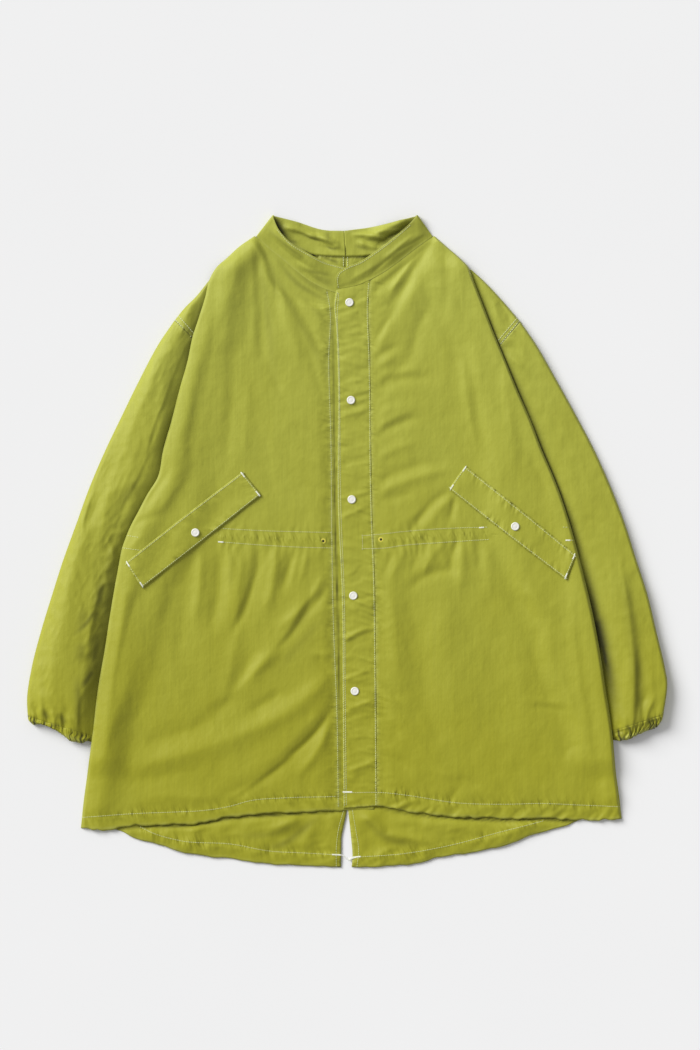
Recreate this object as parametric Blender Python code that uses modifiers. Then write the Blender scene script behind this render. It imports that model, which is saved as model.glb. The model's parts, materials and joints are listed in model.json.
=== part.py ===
"""Fishtail parka laid flat, front up: every cut piece is a thin wall, in layers from the floor up.

Tables and sizes are in millimetres, turned into metres when a mesh is made. +X is to the viewer's
right, which is the wearer's left, +Y is towards the collar and +Z is up from the floor, z = 0.
"""

import math

import bmesh
import bpy
import numpy as np
from mathutils import Vector
from mathutils.bvhtree import BVHTree

MM = 0.001
WALL = 1.0  # one layer of cloth with its finish
DOUBLE = 1.6  # two layers pressed and stitched: placket and flaps
SEAM = 0.3  # gap between neighbouring pieces
LAYER = WALL + SEAM

# How high the layers lie over the floor.
EDGE_RADIUS = 2.0  # rounding of a flattened tube's edge
SLEEVE_HIDDEN = 4.6  # sleeve's height where the body lies on it
SLEEVE_SWELL = 1.4  # how much higher it is where it lies free
LIFT = SLEEVE_HIDDEN + 1.0  # underside of the back over a sleeve
MOST_PUFF = 3.6  # highest the front stands over the back
FRONT_BASE = 1.9  # its mean
COLLAR_TOP = 3.5  # outer face of the collar's front at the neck side
UNDERLAP_PUFF = 0.2  # right front under the placket
PLACKET_LOW = 2.9  # underside of the placket and the left front's edge

SNAP_DIAMETER = 10.8
SNAP_HEIGHT = 2.2
EYELET_DIAMETER = 6.2
EYELET_HOLE = 2.6
CUFF_GATHERS = 13  # on the side that shows

CLOTH = (0.37, 0.38, 0.052)
IVORY = (0.85, 0.83, 0.76)
BRASS = (0.55, 0.40, 0.12)
THREAD = (0.80, 0.80, 0.62)

# The body's folded side edges in plan, from the neck's side to the hem.
SIDE_RIGHT = (
    (-121, 396), (-141, 382), (-156, 368), (-170, 355), (-179, 339), (-184, 318), (-192, 292), (-201, 264),
    (-207, 235), (-218, 196), (-228, 157), (-239, 118), (-246, 83), (-260, 60), (-271, 39), (-281, 20),
    (-291, -5), (-299, -44), (-307, -90), (-315, -142), (-324, -194), (-330, -246), (-337, -298), (-343, -343),
    (-346, -373),
)  # fmt: skip
SIDE_LEFT = (
    (114, 396), (130, 382), (146, 368), (158, 355), (164, 339), (172, 318), (182, 292), (193, 264),
    (205, 235), (221, 196), (238, 157), (253, 118), (268, 83), (277, 60), (284, 39), (290, 20),
    (297, -5), (307, -44), (318, -90), (328, -142), (336, -194), (344, -246), (349, -298), (354, -335),
    (357, -361),
)  # fmt: skip

# Neck seams, from the neck's side to the centre.
FRONT_NECK_RIGHT = ((-118.5, 395), (-105, 382), (-86, 367), (-67, 351), (-45, 335), (-27, 326), (-14, 322), (25, 319))
FRONT_NECK_LEFT = ((111.5, 395), (90, 380), (68, 363), (50, 350), (30, 338.5))
PLACKET_TOP = ((30, 338.5), (11, 331), (-6, 328), (-14, 326))
BACK_NECK_RIGHT = ((-118.5, 395), (-86, 384), (-50, 374), (-2.2, 370))
BACK_NECK_LEFT = ((111.5, 395), (70, 381), (31, 372), (-1.8, 370))

# Down the centre, neck to hem.
UNDERLAP = ((25, 319), (25, 236), (28, 27), (32, -150), (35, -349))
PLACKET_SEAM = ((30, 338.5), (28, 312), (30, 236), (33, 27), (35, -22), (38, -207), (39, -344))
PLACKET_EDGE = ((-14, 326), (-17, 307), (-15, 282), (-13, 236), (-12, 38), (-7, -78), (-6, -194), (-5, -347))
CENTRE_BACK = ((-2, 370), (-1, 0), (0.6, -344))
VENT_RIGHT = ((0.6, -344), (-0.5, -352), (-4, -369), (-7, -384), (-7.5, -399), (-8, -424))
VENT_LEFT = ((0.6, -344), (1.5, -352), (4, -374), (6, -394), (7, -407), (6, -424))

# Hems, from the side to the centre.
FRONT_HEM_RIGHT = ((-346, -373), (-323, -375), (-273, -370), (-198, -367), (-149, -358), (-86, -354), (-15, -350),
                   (35, -349))  # fmt: skip
FRONT_HEM_LEFT = ((357, -361), (330, -363), (302, -363), (253, -360), (203, -361), (141, -358), (103, -355),
                  (66, -350), (39, -344))  # fmt: skip
BACK_HEM_RIGHT = ((-346, -373), (-320, -374), (-297, -376), (-273, -387), (-246, -394), (-203, -407), (-159, -412),
                  (-116, -418), (-74, -421), (-8, -424))  # fmt: skip
BACK_HEM_LEFT = ((357, -361), (335, -361), (304, -363), (285, -369), (250, -379), (203, -396), (166, -404),
                 (123, -411), (96, -418), (54, -423), (6, -424))  # fmt: skip

# Collar's top edges, from the centre back to the neck's side, then on to the centre front.
COLLAR_RIGHT_TOP_BACK = ((-4, 403), (-29, 404), (-66, 415), (-97, 423))
COLLAR_RIGHT_TOP_FRONT = ((-97, 423), (-89, 405), (-75, 389), (-51, 374), (-29, 363), (-5, 356), (20, 350))
COLLAR_LEFT_TOP_BACK = ((-3.6, 403), (44, 410), (71, 417), (92, 423))
COLLAR_LEFT_TOP_FRONT = ((92, 423), (80, 411), (58, 392), (31, 372), (17, 363), (-4, 354), (-13, 347), (-15, 340))

# Sleeve stations from the armhole seam to the cuff: outer x, y, then hidden inner x, y.
SLEEVE_RIGHT = (
    (-224, 287, -181, 244), (-245, 256, -187, 203), (-270, 209, -196, 160), (-293, 162, -205, 118),
    (-315, 116, -209, 74), (-335, 69, -216, 27), (-352, 22, -235, -20), (-369, -25, -259, -61),
    (-384, -72, -274, -105), (-398, -118, -283, -148), (-410, -165, -298, -194), (-416, -207, -315, -235),
    (-415, -228, -320, -258),
)  # fmt: skip
SLEEVE_LEFT = (
    (225, 285, 181, 234), (245, 256, 185, 194), (272, 209, 196, 152), (298, 162, 203, 110),
    (322, 116, 211, 66), (343, 69, 220, 22), (361, 22, 235, -25), (376, -25, 254, -66),
    (391, -72, 271, -109), (402, -118, 281, -152), (413, -165, 297, -196), (416, -190, 314, -235),
    (411, -226, 319, -256),
)  # fmt: skip
# Dropped shoulders, from under the body's edge to the armhole seam.
SHOULDER_RIGHT = ((-180, 338, -156, 318), (-196, 318, -162, 292), (-211, 303, -171, 266), (-223.8, 287.3, -180.8, 244.3))
SHOULDER_LEFT = ((161, 353, 138, 330), (178, 337.5, 150, 309), (201, 313, 165, 275), (224.8, 285.3, 180.8, 234.3))
# Elastic casings, from the sleeve's end to their gathered edge.
CUFF_RIGHT = ((-414.8, -228.4, -320.2, -258.4), (-414, -233, -322, -263), (-409, -239, -325, -267))
CUFF_LEFT = ((410.8, -226.4, 319.2, -256.4), (409, -233, 320, -263), (404, -240, 323, -269))

# Pocket flaps: the two long edges, from the end nearer the centre to the end nearer the side.
FLAP_RIGHT = {"upper": ((-136, 90), (-212, 32), (-288, -28)), "lower": ((-112, 60), (-188, 0), (-266, -61))}
FLAP_LEFT = {"upper": ((153, 98), (226, 40), (297, -18)), "lower": ((132, 68), (208, 8), (284, -50))}

SNAPS = ((3, 310), (5, 183), (6, 54), (8, -71), (10, -195))
FLAP_SNAPS = (("right", -197, 11), ("left", 218, 19))
EYELETS = (("right", -31, 0), ("left", 44, 2))
# The tail cord's short end crosses the split from one bar-tack to the other.
TAIL_CORD = ((-12, -407.5, 2.1), (-6, -408.5, 2.0), (-2, -411.5, 1.8), (3, -414, 1.9), (7, -412.5, 2.0), (13, -411, 2.1))
TAIL_CORD_DIAMETER = 1.4

# Largest folds: x and y of the start and end, sideways bow, half width, height (a trough is negative).
FOLDS_RIGHT = (
    (-158, 326, -201, 40, 0, 16, -2.0),  # trough beside the rolled edge
    (-120, 385, -90, 180, 6, 13, -1.2),
    (-104, 372, -30, 225, 6, 12, -1.3),
    (-122, 378, -36, 285, 4, 12, 1.5),
    (-184, -12, -172, -190, -4, 15, 1.6),
    (-142, -25, -168, -200, 5, 14, -1.6),
    (-112, -25, -126, -140, 4, 12, 1.4),
    (-86, -25, -103, -116, 3, 11, -1.3),
    (-41, -57, -112, -180, 9, 13, 1.5),
    (-24, -205, -150, -334, 12, 13, -2.4),  # deepest, from the placket to the hem
    (-30, -188, -245, -322, 14, 17, 2.2),
    (-222, -20, -262, -210, 8, 16, -1.3),
    (-262, -90, -290, -330, 4, 16, 1.4),
)
FOLDS_LEFT = (
    (110, 386, 34, 250, -6, 13, -1.5),
    (124, 376, 58, 262, -5, 13, 1.5),
    (100, 288, 34, 190, -4, 13, -1.3),
    (122, 370, 180, 92, -8, 15, -1.4),
    (186, 200, 204, 70, 3, 14, 1.6),
    (134, 62, 50, 2, 4, 12, -1.6),
    (44, 110, 104, 146, 3, 12, -1.0),
    (118, -8, 84, -70, 6, 12, -1.5),
    (78, -77, 122, -236, 6, 15, -1.4),
    (150, -30, 176, -250, -5, 18, 1.4),
    (222, -77, 262, -240, 4, 16, -1.5),
    (58, -220, 128, -300, 4, 13, -1.4),
    (280, -90, 312, -330, -3, 16, 1.5),
)
SLEEVE_FOLDS_RIGHT = (
    (-232, 250, -330, 30, -4, 12, 0.7),
    (-300, 120, -366, -60, 2, 10, -0.6),
    (-352, 0, -392, -200, -3, 14, 0.7),
    (-352, -150, -350, -240, 2, 8, -0.8),
)
SLEEVE_FOLDS_LEFT = (
    (236, 240, 330, 40, 4, 12, 0.6),
    (310, 130, 360, -30, -2, 10, -0.6),
    (338, -25, 362, -190, 4, 12, 0.7),
    (364, -100, 370, -230, 3, 8, -0.8),
)

# Grid lines. The first ones, near the side edge, are closest together where the layers turn.
ACROSS_BODY = (0, 0.02, 0.05, 0.09, 0.13, 0.17, 0.21, 0.25, 0.30, 0.36, 0.42, 0.48, 0.54, 0.60, 0.66, 0.72, 0.78,
               0.84, 0.89, 0.94, 0.98, 1)  # fmt: skip
ACROSS_BACK = (0, 0.02, 0.05, 0.09, 0.13, 0.17, 0.21, 0.25, 0.30, 0.36, 0.48, 0.66, 0.84, 1)
NECK_ROWS = 10
PLACKET_COLUMNS = 5
BODY_ROWS = 24
NECK_SHARE = 0.235  # share of the side edge's length level with the neck seam
VENT_SHARE = 0.90  # and with the top of the split


def ramp(low, high, value):
    """0 below low, 1 above high, and an easy step between them; low may be the larger."""
    t = np.clip((value - low) / (high - low), 0, 1)
    return t * t * (3 - 2 * t)


def smooth(at, values, q):
    """Cubic curve through the values, which stand at rising places, read at q."""
    at, values, q = (np.asarray(v, float) for v in (at, values, q))
    if len(at) < 3:
        return np.interp(q, at, values)
    slope = np.gradient(values, at)
    i = np.clip(np.searchsorted(at, q) - 1, 0, len(at) - 2)
    h = at[i + 1] - at[i]
    t = np.clip((q - at[i]) / h, 0, 1)
    near = values[i] * (1 + 2 * t) * (1 - t) ** 2 + values[i + 1] * t * t * (3 - 2 * t)
    return near + h * (slope[i] * t * (1 - t) ** 2 - slope[i + 1] * t * t * (1 - t))


def edge(points):
    """A smooth curve through the points, in plan or in space, as a function of 0 to 1 along its length."""
    points = np.array(points, float)
    length = np.concatenate([[0], np.cumsum(np.linalg.norm(np.diff(points, axis=0), axis=1))])
    length /= length[-1]
    return lambda t: np.stack([smooth(length, axis, t) for axis in points.T], axis=-1)


def joined(lines, shares):
    """Several curves as one, which may turn sharply where they meet, at the shares of its range."""
    curves = [edge(line) for line in lines]
    starts, ends = (0, *shares), (*shares, 1)

    def along(t):
        t = np.asarray(t, float)
        at = curves[0](np.clip(t / ends[0], 0, 1))
        for curve, start, end in zip(curves[1:], starts[1:], ends[1:]):
            here = curve(np.clip((t - start) / (end - start), 0, 1))
            at = np.where((t < start)[..., None], at, here)
        return at

    return along


def patch(left, right, top, bottom, across, down):
    """Plan points of a grid between four edges that meet at its corners."""
    u, v = np.meshgrid(across, down)
    tall, wide = u[..., None], v[..., None]
    sides = (1 - tall) * left(v) + tall * right(v)
    ends = (1 - wide) * top(u) + wide * bottom(u)
    zero, one = np.zeros(1), np.ones(1)
    corners = (1 - wide) * ((1 - tall) * left(zero) + tall * right(zero))
    corners = corners + wide * ((1 - tall) * left(one) + tall * right(one))
    return sides + ends - corners


def folds(table, x, y):
    """Sum of the table's ridges and troughs at plan points, each fading towards its two ends."""
    total = np.zeros_like(x)
    for x0, y0, x1, y1, bow, half_width, height in table:
        dx, dy = x1 - x0, y1 - y0
        length = math.hypot(dx, dy)
        along = ((x - x0) * dx + (y - y0) * dy) / length**2
        aside = ((y - y0) * dx - (x - x0) * dy) / length
        middle = np.clip(along, 0, 1)
        aside = aside - bow * 4 * middle * (1 - middle)
        past = np.maximum(np.maximum(-along, along - 1), 0) * length
        fade = np.clip(4 * middle * (1 - middle) + 0.35, 0, 1)
        total += height * fade * np.exp(-((aside / half_width) ** 2) - (past / half_width) ** 2)
    return total


def side_x(side, y):
    """X of the body's side edge at height y; side is -1 for the wearer's right and 1 for the left."""
    table = np.array((SIDE_RIGHT if side < 0 else SIDE_LEFT)[::-1], float)
    return smooth(table[:, 1], table[:, 0], y)


def inner_x(side, y):
    """X of the hidden inner edge of the shoulder and sleeve under the body."""
    stations = (SHOULDER_RIGHT[:-1] + SLEEVE_RIGHT) if side < 0 else (SHOULDER_LEFT[:-1] + SLEEVE_LEFT)
    table = np.array(stations[::-1], float)
    return np.interp(y, table[:, 3], table[:, 2])


def lift(side, x, y):
    """Height of the back's underside: on the floor, or over the sleeve near the side edge."""
    inside = side * (inner_x(side, y) - x)
    over = ramp(42, 8, inside)
    return LIFT * over * ramp(378, 352, y) * ramp(-312, -280, y)


def front_under(side, x, y, from_side, from_inner, inner_height):
    """Height of a front's underside, which lies on the back, with its folds and rolled side edge."""
    table = FOLDS_RIGHT if side < 0 else FOLDS_LEFT
    inside = side * (inner_x(side, y) - x)
    raw = FRONT_BASE + folds(table, x, y) + 0.8 * np.exp(-(((from_side - 13) / 9) ** 2))
    raw = raw + 0.7 * ramp(-30, 0, inside) * ramp(70, 40, inside)
    puff = MOST_PUFF * (0.5 + 0.5 * np.tanh((raw - MOST_PUFF / 2) / (MOST_PUFF / 2)))
    hem = ramp(-330, -352, y + 0.03 * np.abs(x))
    puff = puff * (1 - 0.75 * hem)
    puff = inner_height + (puff - inner_height) * ramp(0, 26, from_inner)
    roll = np.clip(from_side / 16, 0, 1)
    puff = puff * np.sqrt(1 - (1 - roll) ** 2)
    return lift(side, x, y) + LAYER + puff


def material(name, colour, roughness, metallic=0.0):
    made = bpy.data.materials.new(name)
    made.use_nodes = True
    shader = made.node_tree.nodes["Principled BSDF"]
    shader.inputs["Base Color"].default_value = (*colour, 1)
    shader.inputs["Roughness"].default_value = roughness
    shader.inputs["Metallic"].default_value = metallic
    made.diffuse_color = (*colour, 1)
    return made


def add(name, mesh, finish):
    """Puts a mesh in the garment's collection as an object with its own material."""
    mesh.materials.append(finish.copy())
    body = bpy.data.objects.new(name, mesh)
    bpy.data.collections["fishtail_parka"].objects.link(body)
    return body


def grid_mesh(name, points):
    """A sheet through a rows x columns x 3 array of points; a first and last column that agree are welded."""
    rows, columns = points.shape[:2]
    shell = bmesh.new()
    bmesh.ops.create_grid(shell, x_segments=columns - 1, y_segments=rows - 1, size=0.5)
    for vert in shell.verts:
        column = round((vert.co.x + 0.5) * (columns - 1))
        row = round((vert.co.y + 0.5) * (rows - 1))
        vert.co = Vector(points[row, column]) * MM
    bmesh.ops.remove_doubles(shell, verts=shell.verts, dist=1e-6)
    mesh = bpy.data.meshes.new(name)
    shell.to_mesh(mesh)
    shell.free()
    mesh.shade_smooth()
    return mesh


def thicken(body, wall, outwards):
    """Gives an open sheet its wall, on the side its faces point to or on the other one."""
    shell = body.modifiers.new("wall", "SOLIDIFY")
    shell.thickness = wall * MM
    shell.offset = 1 if outwards else -1
    return body


def panel(name, plan, under, wall, finish):
    """A wall that stands on its underside's heights; faces point up."""
    points = np.dstack([plan, under])
    a, b = points[0, 1] - points[0, 0], points[-1, 0] - points[0, 0]
    if a[0] * b[1] - a[1] * b[0] < 0:
        points = points[:, ::-1]
    return thicken(add(name, grid_mesh(name, points), finish), wall, outwards=True)


def from_edges(plan):
    """Distance of each grid point to its row's first and last point."""
    first = np.linalg.norm(plan - plan[:, :1], axis=-1)
    last = np.linalg.norm(plan - plan[:, -1:], axis=-1)
    return first, last


def body_rows():
    """Row places down a body panel: some level with the neck seam and the rest below it."""
    return np.concatenate([np.linspace(0, NECK_SHARE, NECK_ROWS, endpoint=False), np.linspace(NECK_SHARE, 1, BODY_ROWS)])


def build_fronts(cloth):
    halves = (
        ("front_right", -1, SIDE_RIGHT, FRONT_NECK_RIGHT, UNDERLAP, FRONT_HEM_RIGHT),
        ("front_left", 1, SIDE_LEFT, FRONT_NECK_LEFT, PLACKET_SEAM, FRONT_HEM_LEFT),
    )
    for name, side, outer, neck, centre, hem in halves:
        inner = joined((neck, centre), (NECK_SHARE,))
        plan = patch(edge(outer), inner, edge((outer[0], neck[0])), edge(hem), ACROSS_BODY, body_rows())
        x, y = plan[..., 0], plan[..., 1]
        if side > 0:  # the seam gap to the placket
            plan[..., 0] = x = x + SEAM * ramp(40, 0, from_edges(plan)[1])
        from_side, from_inner = from_edges(plan)
        at_neck = ramp(330, 395, y[:, -1:])
        if side < 0:
            inner_height = UNDERLAP_PUFF + (1.1 - UNDERLAP_PUFF) * at_neck
            from_inner = np.maximum(from_inner - 52 * (1 - at_neck), 0)
        else:
            low = PLACKET_LOW - LAYER
            inner_height = low + (1.1 - low) * at_neck
        under = front_under(side, x, y, from_side, from_inner, inner_height)
        panel(name, plan, under, WALL, cloth)


def build_backs(cloth):
    halves = (
        ("back_right", -1, SIDE_RIGHT, BACK_NECK_RIGHT, VENT_RIGHT, BACK_HEM_RIGHT),
        ("back_left", 1, SIDE_LEFT, BACK_NECK_LEFT, VENT_LEFT, BACK_HEM_LEFT),
    )
    for name, side, outer, neck, vent, hem in halves:
        centre, tail = ([(x + side * SEAM / 2, y) for x, y in line] for line in (CENTRE_BACK, vent))
        inner = joined((neck, centre, tail), (NECK_SHARE, VENT_SHARE))
        rows = np.sort(np.append(body_rows(), VENT_SHARE))
        plan = patch(edge(outer), inner, edge((outer[0], neck[0])), edge(hem), ACROSS_BACK, rows)
        panel(name, plan, lift(side, plan[..., 0], plan[..., 1]), WALL, cloth)


def build_placket(cloth):
    across, down = np.linspace(0, 1, PLACKET_COLUMNS), np.linspace(0, 1, 36)
    top = edge(PLACKET_TOP[::-1])
    bottom = edge((PLACKET_EDGE[-1], PLACKET_SEAM[-1]))
    plan = patch(edge(PLACKET_EDGE), edge(PLACKET_SEAM), top, bottom, across, down)
    x, y = plan[..., 0], plan[..., 1]
    wrinkle = 0.22 * (1 + np.sin(y / 9.5 + 1.3 * np.sin(y / 31) + x / 14))
    inside = np.minimum(*from_edges(plan))
    panel("placket", plan, PLACKET_LOW + wrinkle * ramp(0, 12, inside), DOUBLE, cloth)


def build_collar(cloth):
    """Each half is one band: on the floor at the back, turned up round the neck's side, and over to the front."""
    halves = (
        ("right", -1, BACK_NECK_RIGHT, COLLAR_RIGHT_TOP_BACK, (FRONT_NECK_RIGHT,), COLLAR_RIGHT_TOP_FRONT),
        ("left", 1, BACK_NECK_LEFT, COLLAR_LEFT_TOP_BACK, (FRONT_NECK_LEFT, PLACKET_TOP), COLLAR_LEFT_TOP_FRONT),
    )
    rows = np.linspace(0, 1, 5)
    steps = (np.linspace(0, 1, NECK_ROWS + 1), np.linspace(0, 1, PLACKET_COLUMNS))
    radius = COLLAR_TOP / 2
    rise_to_seam = np.array([0, 2 * SEAM])
    for name, side, neck_back, top_back, neck_front, top_front in halves:
        back = edge(neck_back)(1 - steps[0][:-1]) + rise_to_seam
        front = np.concatenate([edge(part)(step[1:]) for part, step in zip(neck_front, steps)]) + rise_to_seam
        columns = [(low, edge(top_back)(t), 0.0) for low, t in zip(back, steps[0])]
        low, high = np.array(neck_back[0]) + rise_to_seam, np.array(top_back[-1])
        for angle in np.radians((0, 45, 90, 135, 180)):
            reach = np.array([side * radius * (math.sin(angle) - 1), 0])
            columns.append((low + reach, high + reach, radius * (1 - math.cos(angle))))
        along = np.linalg.norm(np.diff(np.vstack([low, front]), axis=0), axis=1).cumsum()
        columns += [(at, edge(top_front)(t), COLLAR_TOP) for at, t in zip(front, along / along[-1])]
        points = np.zeros((len(rows), len(columns), 3))
        for column, (low, high, height) in enumerate(columns):
            points[:, column, :2] = (1 - rows)[:, None] * low + rows[:, None] * high
            x = points[:, column, 0]
            if height == COLLAR_TOP and side < 0:
                height = height + (LAYER + WALL + UNDERLAP_PUFF - height) * ramp(-52, -22, x)
            elif height == COLLAR_TOP:
                height = height + (PLACKET_LOW + WALL - height) * ramp(80, 34, x)
            points[:, column, 2] = height
        points = points if side < 0 else points[:, ::-1]
        name = "collar_" + name
        thicken(add(name, grid_mesh(name, points), cloth), WALL, outwards=False)


def flattened_tube(name, stations, side, table, rows, crest_columns, gathers, cloth):
    """A tube lying flat: a level underside, rounded edges, and a top that swells where no cloth lies on it."""
    stations = np.array(stations, float)
    places = edge(stations)(rows)
    outer, inner = places[:, :2], places[:, 2:]
    width = np.linalg.norm(inner - outer, axis=1, keepdims=True)
    turn = EDGE_RADIUS
    bend = [turn * (1 - math.cos(math.radians(a))) for a in (90, 45)]
    rise = [turn * (1 - math.sin(math.radians(a))) for a in (0, 45)]
    top = np.linspace(0, 1, crest_columns)
    ring = []  # distance from the outer edge and height, round the section from the outer edge's middle
    ring.append((0 * width, rise[0] + 0 * width))
    ring.append((bend[1] + 0 * width, 2 * turn - rise[1] + 0 * width))
    for share in top:
        ring.append((turn + share * (width - 2 * turn), 2 * turn + 0 * width))
    ring.append((width - bend[1], 2 * turn - rise[1] + 0 * width))
    ring.append((width, rise[0] + 0 * width))
    ring.append((width - bend[1], rise[1] + 0 * width))
    for share in (1, 0.5, 0):
        ring.append((turn + share * (width - 2 * turn), 0 * width))
    ring.append((bend[1] + 0 * width, rise[1] + 0 * width))
    ring.append(ring[0])
    across = (inner - outer) / width
    points = np.zeros((len(rows), len(ring), 3))
    for column, (reach, height) in enumerate(ring):
        at = outer + reach * across
        points[:, column, :2] = at
        z = height[:, 0].copy()
        if 2 <= column < 2 + crest_columns:
            free = ramp(0, 14, side * (at[:, 0] - side_x(side, at[:, 1])))
            share = top[column - 2]
            arch = math.sin(math.pi * share) ** 0.5 if 0 < share < 1 else 0
            swell = 0.5 + folds(table, at[:, 0], at[:, 1])
            if gathers:
                swell = swell + 0.5 * math.cos(2 * math.pi * gathers * share)
            z += arch * (SLEEVE_HIDDEN - 2 * turn)
            z += arch * free * SLEEVE_SWELL * np.clip(swell, 0, 1)
        points[:, column, 2] = z
    mesh = grid_mesh(name, points)
    faces_out(mesh)
    thicken(add(name, mesh, cloth), WALL, outwards=False)


def faces_out(mesh):
    """Turns an open tube's faces away from its inside."""
    shell = bmesh.new()
    shell.from_mesh(mesh)
    top = max(shell.faces, key=lambda face: face.calc_center_median().z * abs(face.normal.z))
    if top.normal.z < 0:
        bmesh.ops.reverse_faces(shell, faces=shell.faces)
    shell.to_mesh(mesh)
    shell.free()


def build_sleeves(cloth):
    halves = (
        ("right", -1, SHOULDER_RIGHT, SLEEVE_RIGHT, CUFF_RIGHT, SLEEVE_FOLDS_RIGHT),
        ("left", 1, SHOULDER_LEFT, SLEEVE_LEFT, CUFF_LEFT, SLEEVE_FOLDS_LEFT),
    )
    for name, side, shoulder, sleeve, cuff, table in halves:
        flattened_tube("shoulder_" + name, shoulder, side, table, np.linspace(0, 1, 5), 8, 0, cloth)
        flattened_tube("sleeve_" + name, sleeve, side, table, np.linspace(0, 1, 19), 10, 0, cloth)
        flattened_tube("cuff_" + name, cuff, side, table, np.linspace(0, 1, 3), 4 * CUFF_GATHERS + 1, CUFF_GATHERS, cloth)


def surface_of(names):
    """Search tree over the evaluated walls of the named nodes."""
    graph = bpy.context.evaluated_depsgraph_get()
    found = []
    for name in names:
        found.append(BVHTree.FromObject(bpy.data.objects[name], graph))
    return found


def highest(trees, x, y, reach):
    """Highest cloth within reach of a plan point, in millimetres."""
    tops = []
    for step_x in (-1, 0, 1):
        for step_y in (-1, 0, 1):
            start = Vector(((x + step_x * reach) * MM, (y + step_y * reach) * MM, 0.1))
            for tree in trees:
                hit = tree.ray_cast(start, Vector((0, 0, -1)))[0]
                if hit:
                    tops.append(hit.z / MM)
    return max(tops)


def build_flaps(cloth):
    """Each flap is made from its front's points, moved out."""
    across, down = np.linspace(0, 1, 5), np.linspace(0, 1, 19)
    for name, side, sides in (("right", -1, FLAP_RIGHT), ("left", 1, FLAP_LEFT)):
        upper, lower = edge(sides["upper"]), edge(sides["lower"])
        near = edge((sides["upper"][0], sides["lower"][0]))
        far = edge((sides["upper"][-1], sides["lower"][-1]))
        plan = patch(upper, lower, near, far, across, down)
        trees = surface_of(["front_" + name])
        under = np.array([[highest(trees, x, y, 5) + SEAM for x, y in row] for row in plan])
        panel("pocket_flap_" + name, plan, under, DOUBLE, cloth)


def turned(name, profile, place, finish, steps=14):
    """A ring or cap turned round a vertical axis through place; the profile runs outer side first, top to bottom."""
    line = bmesh.new()
    verts = [line.verts.new(Vector((r * MM, 0, z * MM))) for r, z in profile]
    for first, second in zip(verts, verts[1:] + verts[:1]):
        line.edges.new((first, second))
    mesh = bpy.data.meshes.new(name)
    line.to_mesh(mesh)
    line.free()
    body = add(name, mesh, finish)
    body.location = Vector(place) * MM
    spin = body.modifiers.new("turn", "SCREW")
    spin.steps = spin.render_steps = steps
    spin.use_merge_vertices = True
    spin.merge_threshold = 0.00001
    return body


def cap_profile(radius, height):
    """A pressed cap: a flat back, a straight rim and a slightly domed face with a rounded shoulder."""
    shoulder = 0.35 * height
    return (
        (0, height), (0.62 * radius, 0.97 * height), (radius - 0.4, height - 0.5 * shoulder),
        (radius, height - 1.6 * shoulder), (radius, 0), (0, 0),
    )  # fmt: skip


def build_hardware(ivory, brass):
    for number, (x, y) in enumerate(SNAPS, 1):
        z = highest(surface_of(["placket"]), x, y, SNAP_DIAMETER / 2) + SEAM
        cap("snap_%d" % number, x, y, z, ivory)
    for name, x, y in FLAP_SNAPS:
        z = highest(surface_of(["pocket_flap_" + name]), x, y, SNAP_DIAMETER / 2) + SEAM
        cap("flap_snap_" + name, x, y, z, ivory)
    for name, x, y in EYELETS:
        z = highest(surface_of(["front_" + name]), x, y, EYELET_DIAMETER / 2) + SEAM
        outer, hole = EYELET_DIAMETER / 2, EYELET_HOLE / 2
        profile = ((outer - 0.6, 0.9), (outer, 0.4), (outer, 0), (hole, 0), (hole, 0.5), (hole + 0.5, 0.9))
        turned("eyelet_" + name, profile, (x, y, z), brass)


def cap(name, x, y, z, finish):
    """A snap's cap, whose open profile starts and ends on the axis."""
    body = turned(name, cap_profile(SNAP_DIAMETER / 2, SNAP_HEIGHT), (x, y, z), finish)
    line = bmesh.new()
    line.from_mesh(body.data)
    on_axis = [e for e in line.edges if all(abs(v.co.x) < 1e-9 for v in e.verts)]
    bmesh.ops.delete(line, geom=on_axis, context="EDGES_FACES")
    line.to_mesh(body.data)
    line.free()


def build_tail_cord(thread):
    curve = bpy.data.curves.new("tail_cord", "CURVE")
    curve.dimensions = "3D"
    curve.bevel_depth = TAIL_CORD_DIAMETER / 2 * MM
    curve.bevel_resolution = 2
    curve.use_fill_caps = True
    route = edge(TAIL_CORD)(np.linspace(0, 1, 11))
    spline = curve.splines.new("POLY")
    spline.points.add(len(route) - 1)
    for point, at in zip(spline.points, route):
        point.co = (*(Vector(at) * MM), 1)
    curve.materials.append(thread.copy())
    bpy.data.collections["fishtail_parka"].objects.link(bpy.data.objects.new("tail_cord", curve))


def main():
    for old in list(bpy.data.objects):
        bpy.data.objects.remove(old)
    bpy.context.scene.collection.children.link(bpy.data.collections.new("fishtail_parka"))
    cloth = material("cloth", CLOTH, 0.75)
    ivory = material("snap_ivory", IVORY, 0.35)
    brass = material("eyelet_brass", BRASS, 0.35, 1.0)
    thread = material("thread", THREAD, 0.8)
    build_backs(cloth)
    build_sleeves(cloth)
    build_fronts(cloth)
    build_placket(cloth)
    build_collar(cloth)
    build_flaps(cloth)
    build_hardware(ivory, brass)
    build_tail_cord(thread)


main()
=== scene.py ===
"""Fishtail parka laid flat, front up: cloth with its folds, stitching, snaps, eyelets and a plain stage.

Plan tables are in millimetres, +X to the viewer's right (the wearer's left), +Y towards the collar,
+Z up from the surface that the parka lies on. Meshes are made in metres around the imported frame.
"""

import json
import math

import bpy
import numpy as np
from bpy.props import FloatProperty, FloatVectorProperty, IntProperty, PointerProperty
from bpy.types import Operator, Panel, PropertyGroup
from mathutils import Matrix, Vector
from mathutils.bvhtree import BVHTree

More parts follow.
